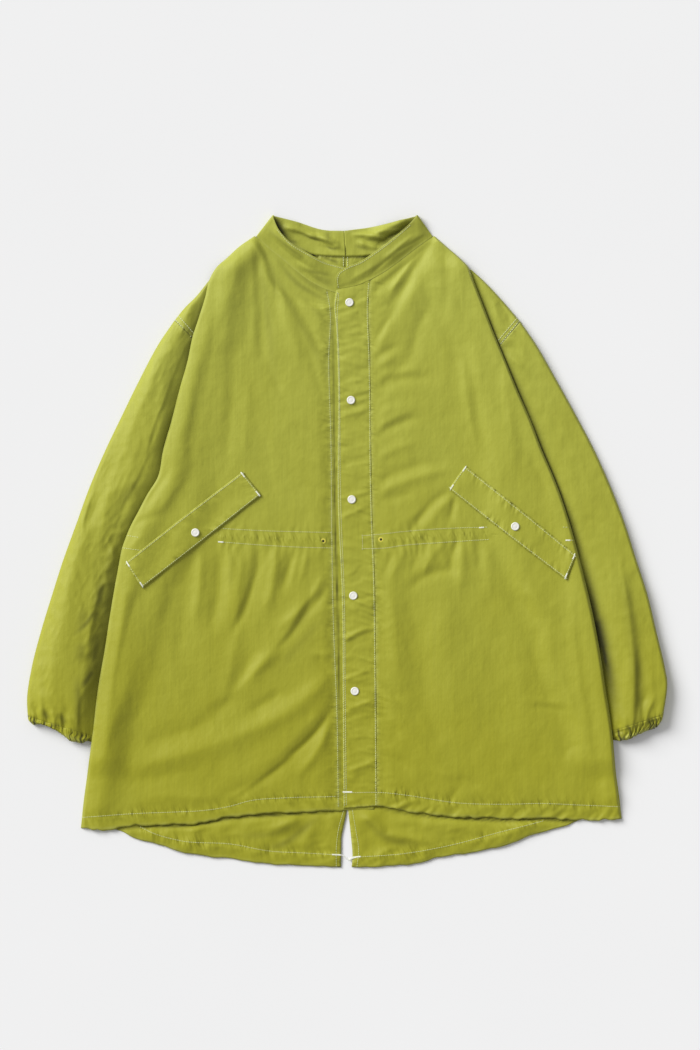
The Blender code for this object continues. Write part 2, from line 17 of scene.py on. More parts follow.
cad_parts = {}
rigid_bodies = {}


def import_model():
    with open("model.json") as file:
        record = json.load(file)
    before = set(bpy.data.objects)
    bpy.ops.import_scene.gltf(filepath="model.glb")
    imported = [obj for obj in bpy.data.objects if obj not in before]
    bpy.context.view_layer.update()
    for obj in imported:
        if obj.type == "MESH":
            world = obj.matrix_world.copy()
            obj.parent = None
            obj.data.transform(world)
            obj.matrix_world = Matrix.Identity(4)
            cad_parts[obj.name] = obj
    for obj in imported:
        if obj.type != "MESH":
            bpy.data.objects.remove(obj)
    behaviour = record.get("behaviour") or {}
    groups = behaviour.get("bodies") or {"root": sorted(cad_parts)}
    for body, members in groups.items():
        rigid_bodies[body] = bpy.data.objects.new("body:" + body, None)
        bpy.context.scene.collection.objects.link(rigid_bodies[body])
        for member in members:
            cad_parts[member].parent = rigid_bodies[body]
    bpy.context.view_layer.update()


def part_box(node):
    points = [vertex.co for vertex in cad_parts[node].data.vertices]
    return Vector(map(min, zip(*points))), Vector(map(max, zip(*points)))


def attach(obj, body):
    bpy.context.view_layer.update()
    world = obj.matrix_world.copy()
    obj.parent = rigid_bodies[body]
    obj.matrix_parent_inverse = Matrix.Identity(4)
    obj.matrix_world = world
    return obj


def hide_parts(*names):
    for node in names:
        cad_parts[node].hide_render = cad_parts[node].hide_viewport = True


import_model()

bl_info = {
    "name": "Fishtail Parka, Laid Flat",
    "version": (1, 0, 0),
    "blender": (4, 5, 0),
    "location": "3D View > Sidebar > Parka",
    "description": "Builds a laid-out fishtail parka: cloth, folds, stitching, snaps and stage",
    "category": "Add Mesh",
}

MM = 0.001
RIGHT, LEFT = -1, 1  # the wearer's sides, as signs of x
NAMES = {RIGHT: "right", LEFT: "left"}
LAYER = 1.3  # a wall and its seam gap, as the frame's layers lie
LIFT = 5.6  # underside of the back where it lies over a sleeve
SLEEVE_HIDDEN = 4.6  # sleeve's height where the body lies on it
TUBE_TURN = 2.0  # radius of a sleeve's round edges
CUFF_OVERLAP = 2.5  # how far a cuff begins up the sleeve
EDGE_TURN = 1.25  # radius of the fronts' turned side edges
BACK_WALL, PLACKET_WALL, COLLAR_WALL, FLAP_WALL = 1.0, 1.3, 0.9, 1.0
COLLAR_FACE_Z = 3.5  # outer face of the collar's front at the neck's side
COLLAR_STAND = 6.5  # how far the front band's top edge stands over that
COLLAR_INSIDE_X = 95  # half width of the neck's opening
PLACKET_TOP_Z = 4.6  # face of the placket
NECK_SHARE = 0.235  # share of a side edge's length level with the neck seam
VENT_SHARE = 0.90  # and with the top of the split
CAP_SIZE = (5.4, 2.0)  # radius and height of a snap cap
EYELET_SIZE = (3.4, 1.3, 0.4)  # outer radius, hole's radius, height
# The eyelet's hole is a near black disc of painted shade.
EYELET_SHADE_DISC = ((1.65, 0.0), (1.6, 0.37), (0.02, 0.39))  # profile of the dark disc in it
CORD_RADIUS = 0.5
KNOT = (4.6, -413.4, 2.4)  # middle of the tail cord's knot
ROW_RAISED, TWIN_RAISED, TACK_RAISED = 0.16, 0.25, 0.15  # thread's middle over the cloth
FLAP_TACK = 7.0  # length of a flap's bar-tacks
NO_SEAM = 60  # distance stored where no seam is near
SEAM_SPACING = 1000  # keeps the places along one seam apart from the next one's
LEAST_CUT = 0.301  # least share of its box that a cut piece covers
HIGH_ABOVE = 200  # over every piece
BARE_CLOTH_Z = 1.0  # height where nothing lies under a point
SENSOR = 36  # camera's sensor height in millimetres
SUN_FROM = (-0.677, 0.523, 0.515)  # towards the light
VIEW_CENTRE = (0.00375, 0.0208)  # what the camera looks down on, in metres

# Random seeds of pieces that come in pairs.
FRONT_SEEDS = {RIGHT: 11, LEFT: 57}
SLEEVE_SEEDS = {RIGHT: 310, LEFT: 350}
FLAP_SEEDS = {RIGHT: 500, LEFT: 540}

# fmt: off

# The body's folded side edges in plan, from the neck's side to the hem.
SIDE_EDGE = {
    RIGHT: (
        (-121, 396), (-141, 382), (-156, 368), (-170, 355), (-179, 339), (-184, 318), (-192, 292),
        (-201, 264), (-207, 235), (-218, 196), (-228, 157), (-239, 118), (-246, 83), (-260, 60), (-271, 39),
        (-281, 20), (-291, -5), (-299, -44), (-307, -90), (-315, -142), (-324, -194), (-330, -246),
        (-337, -298), (-343, -343), (-346, -373),
    ),
    LEFT: (
        (114, 396), (130, 382), (146, 368), (158, 355), (164, 339), (172, 318), (182, 292), (193, 264),
        (205, 235), (221, 196), (238, 157), (253, 118), (268, 83), (277, 60), (284, 39), (290, 20),
        (297, -5), (307, -44), (318, -90), (328, -142), (336, -194), (344, -246), (349, -298), (354, -335),
        (357, -361),
    ),
}

# Neck seams, from the neck's side to the centre.
FRONT_NECK = {
    RIGHT: (
        (-118.5, 395), (-105, 382), (-86, 367), (-67, 351), (-45, 335), (-27, 326), (-14, 322), (25, 319),
    ),
    LEFT: ((111.5, 395), (90, 380), (68, 363), (50, 350), (30, 338.5)),
}
PLACKET_TOP = ((30, 338.5), (11, 331), (-6, 328), (-14, 326))
BACK_NECK = {
    RIGHT: ((-118.5, 395), (-86, 384), (-50, 374), (-2.05, 370)),
    LEFT: ((111.5, 395), (70, 381), (31, 372), (-1.95, 370)),
}

# Down the centre, neck to hem.
UNDERLAP = ((25, 319), (25, 236), (28, 27), (32, -150), (35, -349))
PLACKET_SEAM = ((30, 338.5), (28, 312), (30, 236), (33, 27), (35, -22), (38, -207), (39, -344))
PLACKET_EDGE = ((-14, 326), (-17, 307), (-15, 282), (-13, 236), (-12, 38), (-7, -78), (-6, -194), (-5, -347))
PLACKET_BOTTOM = (PLACKET_EDGE[-1], (18, -345.5), PLACKET_SEAM[-1])
FRONT_CENTRE = {RIGHT: UNDERLAP, LEFT: PLACKET_SEAM}
CENTRE_BACK = ((-2, 370), (-1, 0), (0.6, -344))
VENT = {
    RIGHT: ((0.6, -344), (-0.5, -352), (-4, -369), (-7, -384), (-7.5, -399), (-8, -424)),
    LEFT: ((0.6, -344), (1.5, -352), (4, -374), (6, -394), (7, -407), (6, -424)),
}

# Hems, from the side to the centre.
FRONT_HEM = {
    RIGHT: (
        (-346, -373), (-323, -375), (-273, -370), (-198, -367), (-149, -358), (-86, -354), (-15, -350),
        (35, -349),
    ),
    LEFT: (
        (357, -361), (330, -363), (302, -363), (253, -360), (203, -361), (141, -358), (103, -355),
        (66, -350), (39, -344),
    ),
}
BACK_HEM = {
    RIGHT: (
        (-346, -373), (-320, -374), (-297, -376), (-273, -387), (-246, -394), (-203, -407), (-159, -412),
        (-116, -418), (-74, -421), (-8, -424),
    ),
    LEFT: (
        (357, -361), (335, -361), (304, -363), (285, -369), (250, -379), (203, -396), (166, -404),
        (123, -411), (96, -418), (54, -423), (6, -424),
    ),
}

# Collar's top edges, from the centre back to the neck's side, then on to the centre front.
COLLAR_BACK_EDGE = {
    RIGHT: ((-3.8, 403), (-29, 404), (-66, 415), (-97, 423)),
    LEFT: ((-3.7, 403), (44, 410), (71, 417), (92, 423)),
}
COLLAR_FRONT_EDGE = {
    RIGHT: ((-97, 423), (-89, 405), (-75, 389), (-51, 374), (-29, 363), (-5, 356), (20, 350)),
    LEFT: ((92, 423), (80, 411), (58, 392), (31, 372), (17, 363), (-4, 354), (-13, 347), (-15, 340)),
}
COLLAR_SEAM = {RIGHT: (FRONT_NECK[RIGHT],), LEFT: (FRONT_NECK[LEFT], PLACKET_TOP)}
UNDER_COLLAR = {
    RIGHT: ("front_cloth_right",),
    LEFT: ("front_cloth_right", "front_cloth_left", "placket_cloth"),
}

# Sleeve stations from the armhole seam to the cuff: outer x, y, then hidden inner x, y.
SLEEVE = {
    RIGHT: (
        (-224, 287, -181, 244), (-245, 256, -187, 203), (-270, 209, -196, 160), (-293, 162, -205, 118),
        (-315, 116, -209, 74), (-335, 69, -216, 27), (-352, 22, -235, -20), (-369, -25, -259, -61),
        (-384, -72, -274, -105), (-398, -118, -283, -148), (-410, -165, -298, -194),
        (-416, -207, -315, -235), (-415, -228, -320, -258),
    ),
    LEFT: (
        (225, 285, 181, 234), (245, 256, 185, 194), (272, 209, 196, 152), (298, 162, 203, 110),
        (322, 116, 211, 66), (343, 69, 220, 22), (361, 22, 235, -25), (376, -25, 254, -66),
        (391, -72, 271, -109), (402, -118, 281, -152), (413, -165, 297, -196), (416, -190, 314, -235),
        (411, -226, 319, -256),
    ),
}
SHOULDER = {
    RIGHT: (
        (-180, 338, -156, 318), (-196, 318, -162, 292), (-211, 303, -171, 266),
        (-223.8, 287.3, -180.8, 244.3),
    ),
    LEFT: ((161, 353, 138, 330), (178, 337.5, 150, 309), (201, 313, 165, 275), (224.8, 285.3, 180.8, 234.3)),
}
CUFF = {
    RIGHT: ((-414.8, -228.4, -320.2, -258.4), (-414, -233, -322, -263), (-409, -239, -325, -267)),
    LEFT: ((410.8, -226.4, 319.2, -256.4), (409, -233, 320, -263), (404, -240, 323, -269)),
}

# How far the cuffs' gathered edge lies above that line, by the distance from the outer corner.
CUFF_RISE = {
    RIGHT: ((0, 0), (8, 3), (15, 6), (28, 4), (40, 1.5), (51, -3.4), (67, -3), (74, 2), (80, 5), (95, 3)),
    LEFT: ((0, 0), (6, -2), (19, -1.6), (28, -1.3), (35, -3.3), (41, -4.5), (53, -2), (60, 3), (90, 3)),
}

# By height y: the width of the sleeve's fall to the body's edge.
SLEEVE_FALL = {
    RIGHT: (
        (-250, 14), (-213, 20), (-181, 24), (-142, 26), (-103, 26), (-51, 18), (0, 13), (53, 20), (105, 20),
        (157, 13), (216, 32), (260, 22), (350, 20),
    ),
    LEFT: (
        (-250, 12), (-213, 22), (-181, 26), (-103, 26), (-51, 24), (0, 22), (157, 26), (255, 20), (350, 14),
    ),
}

# By height y: the sleeve's crest over its flattened edge, and its share of the way to the body.
SLEEVE_CREST = {
    RIGHT: (
        (-260, 5, 0.5), (-232, 8, 0.5), (-213, 11, 0.5), (-181, 13.5, 0.48), (-142, 13.5, 0.42),
        (-103, 12, 0.34), (-51, 9.5, 0.28), (0, 7, 0.3), (53, 7.5, 0.4), (105, 8, 0.5), (157, 8.5, 0.48),
        (216, 8.5, 0.32), (260, 6, 0.45), (300, 3.5, 0.5), (360, 2, 0.5),
    ),
    LEFT: (
        (-260, 6, 0.5), (-213, 7.5, 0.5), (-142, 5.5, 0.5), (-51, 4, 0.5), (53, 2.6, 0.5), (157, 2, 0.5),
        (255, 2.2, 0.5), (300, 2.0, 0.5), (360, 1.5, 0.5),
    ),
}

# Pocket flaps: the two long edges, from the end nearer the centre to the end nearer the side.
FLAPS = {
    RIGHT: {"upper": ((-136, 90), (-212, 32), (-288, -28)), "lower": ((-112, 60), (-188, 0), (-266, -61))},
    LEFT: {"upper": ((153, 98), (226, 40), (297, -18)), "lower": ((132, 68), (208, 8), (284, -50))},
}

SNAPS = ((3, 310), (5, 183), (6, 54), (8, -71), (10, -195))
FLAP_SNAPS = {RIGHT: (-197, 11), LEFT: (218, 19)}
EYELETS = {RIGHT: (-31, 0), LEFT: (44, 2)}
TAIL_CORD = (
    (-12, -407.5, 2.1), (-6, -408.5, 2.0), (-2, -411.5, 1.8), (3, -414, 1.9), (7, -412.5, 2.0),
    (13, -411, 2.1),
)

# Folds: x and y of the start and end, sideways bow, half width, height (a trough is negative).
FRONT_FOLDS = {
    RIGHT: (
        # from the shoulder down beside the rolled edge
        (-168, 340, -200, 60, 2, 15, -2.6), (-186, 236, -206, 120, 0, 9, -1.2),
        (-150, 330, -166, 120, -4, 16, 1.2), (-147, 205, -158, 95, 0, 7, -0.8),
        (-128, 200, -134, 110, 0, 8, 0.7), (-140, 380, -160, 300, 3, 8, 0.8),
        # from the neck's side
        (-119, 388, -112, 240, 3, 7, -1.3), (-112, 250, -84, 186, 0, 6, -1.1),
        (-125, 384, -122, 250, 2, 8, 1.1), (-100, 374, -92, 300, 2, 6, -0.9),
        (-118, 386, -64, 250, 6, 9, 1.5), (-92, 368, -62, 300, 3, 6, -1.2), (-66, 310, -22, 205, 3, 6, -1.4),
        (-78, 360, -34, 326, 2, 5, -1.0), (-60, 344, -26, 300, 2, 5, 1.0), (-56, 276, -22, 212, 2, 6, 1.1),
        (-50, 250, -24, 160, 0, 6, -0.9), (-84, 300, -60, 230, 0, 7, 0.8), (-116, 392, -66, 350, 0, 6, -1.4),
        (-104, 376, -90, 326, 0, 4, -1.4), (-66, 352, -22, 316, 2, 4, -2.0),
        (-88, 368, -56, 326, 0, 4, -1.3), (-50, 346, -22, 326, 0, 3, -1.2), (-60, 330, -26, 288, 2, 4, -1.3),
        # across the chest, soft
        (-70, 150, -24, 128, 0, 6, -0.7), (-64, 110, -24, 96, 0, 6, 0.6), (-58, 74, -24, 64, 0, 5, -0.6),
        (-110, 110, -90, 50, 0, 9, -0.8), (-150, 60, -170, 30, 0, 7, -0.7), (-232, 90, -262, 46, 0, 8, -1.4),
        (-214, 80, -244, 40, 0, 6, 0.8), (-278, 22, -240, 36, 0, 6, -1.0), (-262, 10, -284, -10, 0, 5, 0.8),
        # gathers and folds under the channel
        (-190, -14, -197, -100, 2, 8, 1.5), (-164, -12, -176, -110, 3, 7, -1.7),
        (-150, -12, -152, -90, 0, 7, 1.1), (-134, -14, -147, -86, 0, 6, 1.1),
        (-114, -12, -146, -116, 5, 6, -1.7), (-92, -14, -106, -90, 2, 7, 1.5),
        (-70, -14, -82, -60, 0, 5, -1.6), (-52, -16, -60, -50, 0, 5, 1.0),
        (-44, -62, -100, -148, 7, 7, -2.0), (-34, -52, -86, -110, 5, 6, 1.6),
        (-28, -66, -54, -96, 0, 5, -1.3), (-62, -92, -120, -170, 6, 7, 1.7),
        (-142, -60, -160, -200, 6, 9, 1.0), (-206, -40, -218, -150, 0, 10, -1.0),
        (-124, -150, -178, -232, 5, 10, -1.6), (-96, -140, -168, -210, 6, 9, 1.3),
        (-176, -230, -262, -262, 4, 12, -1.2),
        # the deepest fold and the broad swell above it
        (-30, -182, -130, -248, 7, 11, 2.6), (-120, -244, -268, -290, 5, 14, 2.0),
        (-22, -214, -76, -278, 6, 7, -1.8), (-70, -280, -160, -330, 5, 9, -1.4),
        (-24, -240, -60, -300, 4, 7, 1.5), (-86, -196, -124, -222, 0, 7, -1.3),
        (-40, -150, -22, -172, 0, 5, -1.0), (-16, -150, -46, -146, 0, 5, 0.9),
        # side panel
        (-268, -56, -304, -210, -4, 11, -1.8), (-240, -56, -262, -190, 0, 13, 0.9),
        (-286, -70, -318, -330, -3, 9, 1.3), (-210, -300, -290, -316, 0, 11, -0.9),
        (-180, -334, -250, -330, 0, 8, 0.8), (-64, -306, -30, -330, 0, 7, -0.9),
        (-110, -320, -90, -345, 0, 6, -0.9), (-130, -330, -122, -350, 0, 5, 0.7),
        (-300, -240, -326, -340, 0, 8, -0.8),
    ),
    LEFT: (
        # from the neck's side
        (110, 388, 66, 312, -3, 6, -2.0), (66, 312, 36, 262, 2, 7, -1.6), (130, 380, 72, 292, -5, 14, 1.3),
        (108, 390, 62, 348, 2, 6, -2.0), (72, 356, 30, 322, 2, 6, -2.4), (84, 340, 50, 296, -2, 5, -1.0),
        (92, 372, 56, 322, -2, 5, 1.2), (60, 292, 34, 240, 0, 7, 1.0), (104, 300, 84, 244, -3, 8, -1.4),
        (84, 244, 40, 200, 3, 9, -1.2), (126, 384, 128, 300, 2, 7, -0.9), (140, 376, 150, 300, 2, 8, 0.9),
        (147, 330, 164, 200, -3, 12, -1.2), (166, 200, 190, 96, -3, 10, -2.0),
        (150, 240, 168, 120, -2, 9, 1.3), (204, 210, 216, 96, 2, 10, 1.2), (120, 290, 132, 180, 0, 12, 0.8),
        (180, 300, 206, 220, 2, 9, -0.9),
        # from the placket's seam across the front
        (34, 236, 66, 252, 2, 4, -1.2), (34, 226, 60, 238, 0, 4, 0.9), (32, 196, 104, 212, 5, 6, -1.2),
        (34, 206, 90, 222, 4, 5, 0.9), (34, 160, 84, 176, 3, 6, 0.8), (34, 134, 92, 160, 3, 5, -1.3),
        (34, 142, 86, 170, 3, 5, 1.0), (34, 104, 90, 128, 3, 6, 0.9), (34, 72, 108, 102, 4, 6, -1.4),
        (36, 60, 130, 92, 4, 6, 1.1), (36, 50, 84, 62, 0, 5, -0.9), (34, 300, 52, 306, 0, 4, -0.8),
        # under the flap's inner corner and at the channel's end
        (130, 64, 84, 14, -4, 5, -1.9), (136, 56, 98, 10, -3, 5, 0.7), (140, 56, 134, 26, 0, 4, -1.6),
        (118, 50, 70, 24, 0, 6, 0.6), (143, 0, 136, -38, -3, 5, -2.2), (138, -38, 84, -60, -7, 6, -2.4),
        (120, -4, 100, -44, -3, 6, 1.6), (150, -6, 148, -60, 0, 7, 1.4), (96, -6, 84, -40, 0, 5, -1.2),
        (170, 0, 172, -40, 0, 5, -1.2), (182, -10, 186, -70, 0, 8, 0.9), (74, -10, 56, -50, 0, 6, 1.0),
        (58, -16, 46, -46, 0, 5, -1.1),
        # broad soft forms below
        (76, -64, 100, -216, 5, 14, -1.9), (100, -210, 122, -262, 0, 10, -1.3),
        (54, -60, 66, -180, 3, 12, 1.3), (128, -80, 140, -240, 0, 18, 1.4),
        (206, -70, 252, -110, 3, 9, -1.6), (252, -108, 248, -170, -4, 9, -1.2),
        (226, -60, 272, -96, 0, 8, 1.2), (186, -120, 196, -260, 0, 15, -0.9),
        (226, -150, 236, -270, 0, 15, 0.9),
        # small creases by the placket, the side and the hem
        (40, -186, 66, -206, 2, 5, -1.5), (40, -196, 70, -216, 2, 5, 1.1), (40, -234, 70, -252, 2, 5, -1.2),
        (42, -276, 78, -296, 2, 6, -1.2), (42, -262, 74, -280, 0, 5, 0.9), (56, -222, 116, -296, 4, 9, 1.0),
        (240, -216, 282, -222, 2, 5, -0.8), (236, -206, 286, -212, 0, 5, 0.6),
        (300, -264, 280, -282, -3, 5, -0.8), (142, -308, 170, -320, 2, 6, -1.6),
        (144, -322, 132, -340, 0, 5, -1.2), (120, -300, 150, -312, 0, 6, 1.0),
        (200, -318, 214, -340, 0, 6, -0.9), (232, -312, 262, -330, 0, 7, 0.7),
        (290, -60, 322, -300, -4, 9, 1.5), (270, -120, 300, -300, -3, 11, -1.0),
        (262, 60, 240, 110, 0, 8, -0.8),
    ),
}
PLACKET_FOLDS = (
    (30, 326, -2, 309, 2, 5, -0.9), (28, 300, 12, 296, 0, 3, -0.6), (-10, 262, 26, 268, 0, 3, -0.7),
    (-4, -130, 30, -112, 2, 4, 0.9), (-4, -142, 30, -122, 2, 4, -0.9), (-4, -180, 28, -168, 0, 4, 0.7),
    (0, -266, 34, -258, 0, 4, -0.7), (4, -298, 36, -286, 0, 4, 0.8), (4, -56, 26, -30, 0, 4, -0.8),
    (-8, 30, 24, 44, 0, 4, 0.7), (-8, 100, 26, 108, 0, 4, -0.6), (-10, 160, 28, 172, 0, 4, 0.7),
    (-12, 236, 26, 226, 0, 5, 0.6), (-12, 270, 24, 282, 0, 5, -0.6), (10, -76, 36, -88, 0, 4, 0.8),
    (-2, -220, 34, -206, 0, 4, 0.8), (0, -320, 30, -312, 0, 4, -0.6),
)
SLEEVE_FOLDS = {
    RIGHT: (
        (-226, 276, -258, 200, -3, 8, 1.3), (-214, 268, -196, 250, 0, 5, -1.2),
        (-250, 236, -214, 212, 2, 6, -1.3), (-246, 216, -300, 90, -4, 9, 1.6),
        (-290, 130, -330, 20, -2, 9, -1.3), (-268, 130, -290, 60, 0, 8, 1.0),
        (-308, 70, -322, -10, 0, 8, 1.6), (-286, 60, -300, 10, 0, 7, -1.6), (-320, 62, -336, 20, 0, 6, -1.5),
        (-338, 20, -366, -80, -3, 10, 1.2), (-318, -30, -330, -110, 2, 9, -1.4),
        (-352, -60, -372, -150, -2, 9, 0.9), (-376, -150, -384, -220, 0, 8, 0.9),
        (-340, -170, -344, -240, 0, 6, 1.4), (-396, -196, -398, -232, 0, 5, 1.2),
        (-405, -214, -400, -234, 0, 4, -2.0), (-394, -218, -387, -238, 0, 4, -3.4),
        (-382, -220, -379, -240, 0, 5, 2.4), (-371, -224, -365, -244, 0, 4, -3.4),
        (-360, -226, -356, -248, 0, 4, 1.8), (-366, -190, -364, -226, 0, 5, -0.8),
    ),
    LEFT: (
        (226, 274, 262, 206, 3, 9, 0.8), (204, 252, 222, 246, 2, 5, -1.3), (206, 240, 230, 226, 0, 6, 1.0),
        (250, 200, 300, 100, 3, 12, 0.6), (286, 160, 330, 60, 3, 12, -0.5), (312, 80, 350, -20, 3, 14, 0.7),
        (308, 28, 340, 20, 2, 5, -0.8), (352, -2, 382, -60, 4, 9, -0.9), (340, -30, 352, -130, 3, 11, 0.8),
        (388, -150, 396, -220, 2, 9, 1.2), (398, -214, 402, -232, 0, 4, -1.2),
        (388, -200, 384, -230, -3, 5, -1.6), (380, -214, 378, -240, 0, 4, 1.8),
        (352, -234, 350, -252, 0, 4, -2.0), (332, -226, 336, -254, 0, 4, -2.0),
        (360, -226, 361, -248, 0, 5, 1.4), (342, -236, 343, -256, 0, 4, 1.6),
        (398, -216, 400, -234, 0, 4, 1.2),
    ),
}
SHOULDER_FOLDS = (
    (-190, 322, -199, 284, 0, 5, -1.6), (-200, 316, -208, 290, 0, 5, 1.2), (196, 312, 213, 282, 2, 5, -1.8),
    (188, 314, 200, 280, 0, 6, 1.3),
)
TAIL_FOLDS = (
    (-204, -380, -188, -366, 0, 6, 1.2), (-62, -360, -100, -378, 0, 8, 1.4),
    (-40, -366, -60, -398, 0, 8, 0.9), (-150, -376, -110, -400, 0, 9, 0.8), (20, -358, 48, -382, 4, 6, 1.6),
    (48, -382, 110, -394, 3, 7, 1.3), (60, -364, 120, -372, 0, 8, 0.9), (130, -370, 180, -380, 0, 9, 0.9),
    (210, -372, 240, -368, 0, 7, 0.8),
)
NECK_FOLDS = (
    (-80, 408, -40, 392, 2, 3, 1.3), (-66, 402, -24, 380, 2, 3, -0.9), (-50, 398, -14, 388, 0, 3, 1.2),
    (-34, 396, -8, 380, 0, 3, 0.9), (10, 398, 50, 392, 2, 3, 1.2), (16, 388, 40, 380, 0, 3, 0.9),
    (40, 402, 72, 404, 0, 3, 0.9), (56, 392, 84, 404, 0, 3, 1.1), (78, 418, 30, 396, 0, 6, 2.0),
    (82, 410, 40, 384, 0, 5, -1.5),
)
COLLAR_FOLDS = (
    (-100, 400, -50, 364, 0, 5, 1.0), (-50, 364, -16, 342, 0, 5, 0.8), (98, 398, 44, 362, 0, 6, 1.1),
    (40, 360, 6, 340, 0, 5, 0.8), (-112, 394, -70, 356, 0, 4, -0.9), (-64, 352, -26, 330, 0, 4, -1.0),
    (108, 392, 66, 356, 0, 4, -0.9), (62, 354, 18, 334, 0, 4, -0.9), (-104, 400, -60, 362, -2, 3, -0.9),
    (-96, 408, -62, 372, 0, 3, 0.8), (-70, 368, -30, 344, 0, 3, -0.7), (-60, 360, -24, 334, 0, 3, 0.6),
    (100, 396, 62, 374, 0, 3, -0.7), (84, 396, 50, 368, 0, 3, 0.6), (60, 372, 30, 346, 0, 3, -0.5),
)

# Laps: x and y of the start and end, bow, reach of the swell, height, width of the drop.
FRONT_LAPS_RIGHT = (
    (-76, -275, -17, -207, -4, 22, 2.8, 3), (-152, -334, -70, -270, -3, 26, 2.4, 3),
    (-128, -176, -40, -56, -6, 16, 1.35, 3), (-152, -110, -116, -12, -4, 14, 1.7, 3),
    (-100, -90, -92, -14, -2, 10, 1.2, 2.4), (-72, -60, -64, -14, 0, 8, 1.0, 2),
)
SLEEVE_LAPS = {
    RIGHT: (
        # the upright fold over the cuff, the step beside the body and the ones under the armhole
        (-351, -262, -350, -170, 0, 16, 4.2, 4.5), (-346, -200, -320, -166, 0, 13, 3.4, 4),
        (-331, -112, -320, -58, 2, 12, 2.4, 3.5), (-336, -150, -330, -104, 2, 10, 1.8, 3),
        (-262, 110, -236, 186, 3, 12, 1.4, 3), (-240, 176, -206, 262, 2, 14, 1.8, 3),
        (-292, 50, -262, 108, -2, 12, 1.2, 3), (-390, -240, -396, -214, 0, 8, 2.2, 3),
        (-372, -246, -372, -218, 0, 9, 2.2, 3), (-402, -236, -408, -222, 0, 6, 1.5, 2.5),
        (-344, 10, -330, 62, 3, 16, 1.6, 3),
    ),
    LEFT: (
        # the long step over the cuff and the small ones beside the body
        (369, -270, 372, -150, 0, 16, 5.2, 5), (371, -176, 355, -36, -3, 28, 3.4, 6),
        (325, -224, 318, -200, 0, 8, 1.8, 3), (230, 224, 208, 240, 0, 8, 1.2, 3),
        (388, -240, 396, -208, 3, 8, 2.2, 3), (346, -256, 344, -226, 0, 8, 1.6, 3),
    ),
}

# Rows of stitches that pull the cloth: the placket's, the underlap's, the hems' and the channel's.
PLACKET_EDGE_ROW = ((-11, 321), (-12.5, 300), (-10.5, 236), (-8, 38), (-3.5, -78), (-2.5, -194), (-1, -342))
PLACKET_TWIN_ROW = (
    (-12.6, 322), (-15.4, 307), (-13.6, 282), (-11.6, 236), (-10.6, 38), (-5.6, -78), (-4.6, -194),
    (-3.6, -343),
)
PLACKET_SEAM_ROW = (
    (27.8, 334), (26.4, 312), (28.4, 236), (31.4, 27), (33.4, -22), (36.4, -207), (37.4, -342),
)
UNDERLAP_ROW = (
    (-26, 323), (-23, 307), (-24, 236), (-21, 131), (-20, 11), (-18, -101), (-13, -231), (-11.5, -344),
)
CHANNEL_ROWS = {
    RIGHT: (((-160, 16), (-99, 13), (-60, 12), (-21, 11)), ((-167, -1), (-99, -6), (-60, -8), (-20, -9))),
    LEFT: (
        ((20, 7), (34, 8), (70, 12), (122, 16), (181, 18)),
        ((20, -10), (50, -9), (70, -6), (122, -2), (183, 2)),
    ),
}
CHANNEL = {
    RIGHT: ((-167, 7), (-99, 4), (-60, 2), (-14, 1)),
    LEFT: ((20, -1), (50, 0), (70, 3), (122, 7), (183, 10)),
}
HEM_ROW = {
    RIGHT: (
        (-343, -359), (-273, -354), (-223, -352), (-186, -350), (-154, -345), (-124, -337), (-86, -334),
        (-16, -332),
    ),
    LEFT: (
        (-1, -327), (49, -327), (89, -332), (141, -340), (203, -342), (253, -341), (302, -343), (354, -345),
    ),
}
TAIL_ROW = {
    RIGHT: ((-268, -372), (-248, -381), (-218, -389), (-149, -394), (-99, -403), (-62, -405), (-10, -408)),
    LEFT: ((9, -411), (74, -406), (131, -396), (203, -377), (254, -364)),
}
FRONT_SEAM = {RIGHT: UNDERLAP_ROW, LEFT: PLACKET_SEAM}

# Per front, rows with their puckers' pitch, height and reach.
PUCKERED_ROWS = {
    RIGHT: (
        (CHANNEL_ROWS[RIGHT][0], 10.5, 0.6, 14), (CHANNEL_ROWS[RIGHT][1], 12.5, 0.8, 20),
        (HEM_ROW[RIGHT], 11, 0.45, 10), (UNDERLAP_ROW, 7.5, 0.75, 15),
    ),
    LEFT: (
        (CHANNEL_ROWS[LEFT][0], 11, 0.45, 12), (CHANNEL_ROWS[LEFT][1], 13, 0.6, 16),
        (HEM_ROW[LEFT], 11, 0.45, 10), (PLACKET_SEAM, 12, 0.8, 18),
    ),
}

# The groove beside the placket.
GROOVE = ((-19, 322), (-19, 282), (-18, 236), (-17, 131), (-16, 38), (-12, -101), (-10, -231), (-9, -344))

# Painted shade in deep places, darker in the cloth's colour: a line, its half width, strength and, if need
# be, highest z.
COLLAR_PAINTED_SHADE = (
    # inside of the back: painted shade in the dark wedges at its two ends and in its creases
    (((-98, 423), (-92, 410), (-84, 399), (-77, 392)), 6.5, 1.0, 4.4),
    (((88, 418), (76, 406)), 3.0, 0.7, 3.6), (((86, 412), (58, 398), (40, 387)), 2.6, 0.6),
    (((-59, 399), (-47, 394.5), (-30, 391)), 2.2, 0.5), (((-76, 390), (-64, 388)), 2.6, 0.45),
    (((-28, 384), (-18, 380), (-10, 381.5)), 2.0, 0.5), (((-27, 403), (-23, 388)), 4.0, 0.3),
    (((22, 392), (52, 392)), 2.4, 0.4), (((10, 384), (32, 378)), 2.4, 0.35),
    # front band: painted shade in its creases
    (((-58, 353), (-36, 348), (-18, 345)), 3.0, 0.32), (((-105, 406), (-79, 384), (-58, 368)), 2.4, 0.28),
    (((-46, 346), (-28, 337), (-15, 333)), 6.0, 0.3), (((92, 398), (56, 372), (20, 348)), 6.0, 0.16),
)
